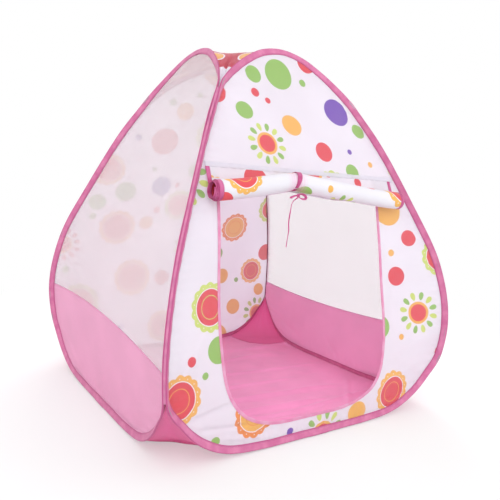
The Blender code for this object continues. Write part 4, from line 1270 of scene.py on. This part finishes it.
def tieRoute(front):
    # (y, z) points of a ribbon from the header to the knot, before or behind the roll
    place = tiePlan["place"]
    seat = float(rollHeight(place))
    ring = rollPlan["radius"] * (1 - rollPlan["squeeze"]) + 0.0016
    knot = math.radians(tiePlan["knotAngle"])
    top, near = tiePlan["top"], tiePlan["near"]
    if front:
        start = wallAt(place, top, lift=0.0046)[1:]
        ny, nz = (float(value) for value in wallNormal(seat))
        away = start - rollSpot(place, 0.0, 0.0)[1:]
        back = -(away[0] * ny + away[1] * nz)
        rise = away[0] * nz - away[1] * ny
        touch = -math.atan2(rise, back) - math.acos(min(ring / math.hypot(*away), 1.0))
        stop = knot - 2 * math.pi + near
        return [start] + [rollSpot(place, touch + (stop - touch) * k / 24, ring)[1:] for k in range(25)]
    route = [wallAt(place, top + (seat - top) * k / 6, lift=0.0012)[1:] for k in range(6)]
    return route + [rollSpot(place, (knot - near) * k / 12, ring + 0.0014 * (1 - k / 12))[1:] for k in range(1, 13)]


def makeRibbon(name, node, front):
    count = tiePlan["stations"]
    route = evenly(np.array(tieRoute(front)), count)
    run = runOf(route)
    away = sideBySide(-run[:, 1], run[:, 0])
    if not front:
        away = -away
    total = float(lengthsAlong(route)[-1])

    def spots(u, v):
        index = stationOf(v, count)
        share = np.clip((v - tiePlan["gatherFrom"]) / tiePlan["gatherOver"], 0, 1)
        wide = tiePlan["wide"] + (tiePlan["narrow"] - tiePlan["wide"]) * smooth(share)
        aside = (u - 0.5) * wide
        fold = tiePlan["fold"] * share * (1 - np.cos((u - 0.5) * 6 * math.pi)) / 2
        out = route[index] + away[index] * fold[:, None]
        lean = tiePlan["lean"] * (1 - v) ** 1.5 if front else 0
        return sideBySide(tiePlan["place"] + aside + lean, out[:, 0], out[:, 1])

    def cuts(u, v):
        return sideBySide((u - 0.5) * tiePlan["wide"], v * total)

    ribbon = layGrid(name, 18, count, spots, cuts, looks["ribbon"], thickness=0.0004)
    settle(ribbon, "tent", node, "pink_ribbon")
    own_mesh(ribbon)


bowPlan = {
    "knot": (0.0046, 0.0036, 0.0042),
    "loop": (0.0112, -0.0006, 0.0052),
    "droop": 0.20,
    "short": (-0.024, -0.0021, -0.0066),
    "loopWide": 0.0066,
    "shortWide": 0.0060,
    "thick": 0.0008,
}


def makeBow():
    plan = bowPlan
    knotPlace = np.array(tailPlan["knot"])
    bpy.ops.mesh.primitive_uv_sphere_add(segments=28, ring_count=18, radius=1, location=(0, 0, 0))
    knot = bpy.context.object
    knot.name = "ribbonBow"
    spots = np.array([vertex.co for vertex in knot.data.vertices])
    turn = np.arctan2(spots[:, 2], spots[:, 0])
    swirl = 1 + 0.10 * np.sin(turn * 2 + spots[:, 1] * 4) + 0.05 * np.sin(turn * 7)
    spots = spots * swirl[:, None] * plan["knot"] + knotPlace
    knot.data.vertices.foreach_set("co", spots.ravel())
    knot.data.uv_layers[0].name = "cut"
    bpy.ops.object.shade_smooth()
    knot.data.materials.append(looks["ribbon"])
    knot.select_set(False)
    turn, share = np.linspace(0, 2 * math.pi, 25), np.linspace(0, 1, 13)
    out, near, tall = plan["loop"]
    wide = out * (1 - np.cos(turn))
    loop = knotPlace + sideBySide(wide, near * np.sin(turn), tall * np.sin(turn) - wide * plan["droop"])
    short = knotPlace + sideBySide(share, share, share ** 2) * plan["short"]
    pieces = [knot]
    for name, line, wide in (("bowLoop", loop, plan["loopWide"]), ("bowShort", short, plan["shortWide"])):
        fine = evenly(curveThrough(line, 4), 60)

        def section(angle, share):
            swell = 0.55 + 0.45 * np.sin(share * math.pi) if name == "bowLoop" else 0.6 + 0.4 * share
            thin, broad = np.cos(angle) * plan["thick"], np.sin(angle) * wide / 2 * swell
            return (thin - broad) * 0.7, (thin + broad) * 0.7

        pieces.append(sweepPath(name, fine, section, looks["ribbon"], 12))
    for piece in pieces:
        piece.select_set(True)
    bpy.context.view_layer.objects.active = knot
    bpy.ops.object.join()
    knot.select_set(False)
    settle(knot, "tent", "tie_bow", "pink_ribbon")
    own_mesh(knot)


makeHeader()
makeStrip()
makeRoll()
makeRibbon("ribbonFront", "tie_front", True)
makeRibbon("ribbonBack", "tie_back", False)
makeBow()
print("flap rolled and tied")


# gussets at the lower corners, floor and roof cap
cornerPlan = {
    "inside": 0.0018,      # how far the cloth lies behind the wires
    "deep": 0.0050,        # on the join: how far in from the wire, and from the wire to the middle of the corner
    "half": 0.0036,
    "start": 0.2467,       # along half a hoop: the end of the floor's straight edge, and the join's start and end
    "part": 0.4353,
    "join": 0.4728,
    "split": 1.1839,
    "cap": 1.2317,
    "tuck": 0.16,          # how far a gusset is tucked in, as a share of the gap it spans
    "folds": [(0.004, 0.11, 0.02, 0.3, 23, 0), (-0.003, 0.055, 0.025, 0.4, 17, 1)],
    "columns": 44,
    "rows": 60,
}
sidesRound = ["front", "right", "back", "left"]
cornerNames = {"front": "front_left", "left": "back_left", "back": "back_right", "right": "front_right"}


def camel(name):
    first, *others = name.split("_")
    return first + "".join(word.capitalize() for word in others)


def behindTape(index):  # points of the front hoop, right side, moved behind the tape
    return loopAt(hoopPoints, index) - loopAt(tapeFace, index) * cornerPlan["inside"]


def betweenTapes(index, aside):  # the same on the join, between the tape and its neighbour's
    point = loopAt(hoopPoints, index) - loopAt(tapeOut, index) * cornerPlan["deep"]
    return point - loopAt(tapeFace, index) * (cornerPlan["half"] - aside)


def indexAlong(length):
    return float(np.interp(length, hoopAlong[:halfCount + 1], np.arange(halfCount + 1)))


def makeGussets():
    plan = cornerPlan
    index = np.linspace(indexAlong(plan["start"]), indexAlong(plan["join"]), plan["rows"] + 1)
    joined = smooth((index - indexAlong(plan["part"])) / (index[-1] - indexAlong(plan["part"])))[:, None]
    held = (behindTape(index) * (1 - joined) + betweenTapes(index, 0.0004) * joined) * (-1, 1, 1)

    def spots(u, v):
        near = held[stationOf(v, plan["rows"])]  # on the front hoop's left side, and far on the left hoop
        far = near[:, (1, 0, 2)]
        gap = np.linalg.norm(near - far, axis=1)
        spot = near * (1 - u)[:, None] + far * u[:, None]
        belly = np.sin(math.pi * u)
        sharp = 1 - np.abs(2 * u - 1)
        deep = gap * plan["tuck"] * (belly * (1 - v * 0.5) + sharp * v * 0.9)
        for depth, at, width, uneven, waves, start in plan["folds"]:
            deep += depth * np.exp(-((v - at) / width) ** 2) * belly * (1 + uneven * np.sin(u * waves + start))
        deep += 0.0016 * np.sin(u * 21 + v * 6) * belly * (1 - v)
        spot[:, :2] += (deep / math.sqrt(2))[:, None]
        ground = np.clip(1 - v / 0.06, 0, 1)
        spot[:, 2] += (0.0008 - spot[:, 2]) * belly ** 0.5 * ground
        return spot

    def cuts(u, v):
        return sideBySide((u - 0.5) * 0.24, v * 0.2)

    for side, corner in cornerNames.items():
        gusset = layGrid(camel(corner + "_gusset"), plan["columns"], plan["rows"], spots, cuts, looks["gusset"], side,
                         clothThick, (-1, -1, 0))
        settle(gusset, "tent", corner + "_gusset", "pink_cloth")
    return spots


gussetSpots = makeGussets()


def polarCloth(name, ring, heightAt, node, look, slot, rows):  # cloth laid from a ring to its middle
    count = len(ring)

    def spots(u, v):
        edge = ring[stationOf(u, count) % count]
        spot = edge.copy()
        spot[:, :2] *= (1 - v)[:, None]
        spot[:, 2] = heightAt(spot, edge, v)
        return spot

    def cuts(u, v):
        return spots(u, v)[:, :2]

    cloth = layGrid(name, count, rows, spots, cuts, looks[look], thickness=0.0006, faceOut=(0, 0, 1))
    settle(cloth, "tent", node, slot)


floorPlan = {
    "edge": 0.045,
    "flat": 0.0010,
    "creases": [(-0.36, -0.20, 0.14, -0.235, 0.010, 0.0110), (-0.34, -0.12, 0.24, -0.165, 0.011, 0.0095),
                (-0.30, -0.29, 0.02, -0.30, 0.008, 0.0080), (-0.34, -0.245, 0.05, -0.268, 0.007, 0.0060),
                (-0.33, -0.03, 0.16, -0.06, 0.010, 0.0060), (-0.20, 0.06, 0.32, 0.02, 0.010, 0.0055),
                (-0.32, 0.15, 0.22, 0.17, 0.012, 0.0050), (-0.22, -0.345, 0.20, -0.338, 0.007, 0.0050),
                (0.02, -0.27, 0.34, -0.24, 0.008, 0.0060), (0.16, -0.33, 0.33, -0.15, 0.009, 0.0050),
                (-0.1, 0.27, 0.34, 0.24, 0.012, 0.0050)],
}


def makeFloor():
    plan = floorPlan
    u = np.linspace(0, 1, 41)[1:-1]
    tuck = gussetSpots(u, np.zeros_like(u)) + (0.0006, 0.0006, 0.0)
    last = indexAlong(cornerPlan["start"])
    straight = behindTape(np.linspace(-last, last, 73))
    ring = np.concatenate([turnSide(part, side) for side in sidesRound for part in (tuck[::-1], straight)])

    def heightAt(spot, edge, v):
        held = (1 - np.clip(v / plan["edge"], 0, 1)) ** 2
        folds = wrinkle(spot[:, 0], spot[:, 1], plan["creases"])
        folds += np.abs(ripple(spot[:, :2], (6, 11), 4.4, 0.005))
        return edge[:, 2] * held + plan["flat"] * (1 - held) + folds * np.clip(v * 9, 0, 1)

    polarCloth("floorSheet", ring, heightAt, "floor_cloth", "floor", "pink_cloth", 100)


roofPlan = {
    "taut": [(0.0, 0.880), (0.04, 0.882), (0.07, 0.889), (0.095, 0.897), (0.112, 0.902), (0.122, 0.900), (0.142, 0.885),
             (0.170, 0.857), (0.222, 0.790)],
}


def makeRoof():
    start = indexAlong(cornerPlan["cap"])
    edge = behindTape(np.linspace(loopCount - start, start, 81))
    tip = betweenTapes(np.array([loopCount - indexAlong(cornerPlan["split"])]), 0)[0]
    ring = []
    for side, following in zip(sidesRound, sidesRound[1:] + sidesRound[:1]):
        turned = turnSide(np.concatenate([[tip], edge]), side)
        nextTip = turnSide(np.array([tip]), following)[0]
        ring += [turned[0] + (turned[1] - turned[0]) * k / 8 for k in range(8)] + list(turned[1:])
        ring += [turned[-1] + (nextTip - turned[-1]) * k / 8 for k in range(1, 8)]
    ring = np.array(ring)

    def tautAt(place):  # height by how far out along the diagonal
        reached = (np.abs(place[:, 0]) + np.abs(place[:, 1])) / 2
        return np.interp(reached, *np.array(roofPlan["taut"]).T)

    def heightAt(spot, edge, v):
        height = tautAt(spot) + (edge[:, 2] - tautAt(edge)) * (1 - smooth(v / 0.4))
        return height + ripple(spot[:, :2], (24, 24), 7.7, 0.004) * 4 * v * (1 - v)

    polarCloth("roofCap", ring, heightAt, "roof_cap", "roof", "roof_print", 40)


makeFloor()
makeRoof()
print("floor, gussets and roof laid")


# rolled seams where neighbouring hoops are sewn together
seamPlan = {"wide": 0.0054, "tall": 0.0028, "low": 0.165, "high": 0.855, "away": 0.0012}


def makeCornerSeams():
    low = hoopShape["base"] + seamPlan["low"] * hoopShape["height"]
    high = hoopShape["base"] + seamPlan["high"] * hoopShape["height"]
    z = np.linspace(low, high, 200)
    x = np.interp(z, hoopHalf[90:, 1], hoopHalf[90:, 0])
    flat = -(x + hoopReach(z)) / 2 - seamPlan["away"] / math.sqrt(2)
    line = sideBySide(flat, flat, z)

    def section(angle, share):
        lump = 1 + 0.08 * np.sin(share * 900)
        across, out = np.cos(angle) * seamPlan["wide"] / 2 * lump, np.sin(angle) * seamPlan["tall"] / 2 * lump
        return (across + out) / math.sqrt(2), (across - out) / math.sqrt(2)

    for side, corner in cornerNames.items():
        seam = sweepPath(camel(corner + "_seam"), line, section, looks["seam"], 10, side)
        settle(seam, "tent", corner + "_seam", "pink_tape")


makeCornerSeams()

for side in hoopShape["turns"]:  # the sprung wires and their crimps keep their solids
    for ending in ("_wire", "_wire_crimp"):
        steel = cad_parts[side + ending]
        steel.data.materials.clear()
        steel.data.materials.append(looks["steel"])
print("wires dressed")


# floor of the studio, light and world
studio = {
    "floorSize": 40.0,
    "floorHeight": -0.0004,
    "aim": 0.4,
    "floorTone": 0.86,
    "floorGlow": 0.38,     # share of plain white near the tent, and all of it past glowFrom
    "glowFrom": (0.62, 1.6),
    "worldLight": 0.96,
    # the three lamps
    "key": {"place": (-2.2, -3.0, 3.0), "size": 3.0, "power": 64.0},
    "fill": {"place": (3.0, -2.2, 2.2), "size": 3.5, "power": 24.0},
    "back": {"place": (1.6, 3.2, 2.6), "size": 3.0, "power": 84.0},
}


def makeStudio():
    bpy.ops.mesh.primitive_plane_add(size=studio["floorSize"], location=(0, 0, studio["floorHeight"]))
    ground = bpy.context.object
    ground.name = "studioFloor"
    look, paint, skin = newLook("studioPale", 0.9)
    tone = studio["floorTone"]
    skin.inputs["Base Color"].default_value = (tone, tone, tone, 1)
    ray = paint.node("LightPath")
    white = paint.node("Emission", None, {0: (1, 1, 1, 1), 1: 1.0})
    away = lengthOf(paint, objectPlace(paint))
    glow = away.within(*studio["glowFrom"]) * (1 - studio["floorGlow"]) + studio["floorGlow"]
    seen = paint.maths("MINIMUM", ray.output("Is Camera Ray") + ray.output("Is Glossy Ray"), 1.0)
    mixSurface(look, paint, skin, seen * glow, white)
    ground.data.materials.append(look)

    world = bpy.data.worlds.new("studioWorld")
    bpy.context.scene.world = world
    world.use_nodes = True
    sky = Paint(world.node_tree)
    back = world.node_tree.nodes["Background"]
    ray = sky.node("LightPath")
    camera, glossy, through = (ray.output(f"Is {kind} Ray") for kind in ("Camera", "Glossy", "Transmission"))
    direct = sky.maths("MINIMUM", camera + glossy + through, 1.0)
    strength = direct * (1 - studio["worldLight"]) + studio["worldLight"]
    sky.tree.links.new(strength.socket, back.inputs["Strength"])
    back.inputs["Color"].default_value = (1, 1, 1, 1)

    for name in ("key", "fill", "back"):
        plan = studio[name]
        bpy.ops.object.light_add(type="AREA", location=plan["place"])
        lamp = bpy.context.object
        lamp.name = name + "Lamp"
        lamp.data.size = plan["size"]
        lamp.data.energy = plan["power"]
        aim = Vector((0, 0, studio["aim"])) - Vector(plan["place"])
        lamp.rotation_euler = aim.to_track_quat("-Z", "Y").to_euler()
    bpy.context.scene.view_settings.view_transform = "Standard"


makeStudio()
print("studio lit")
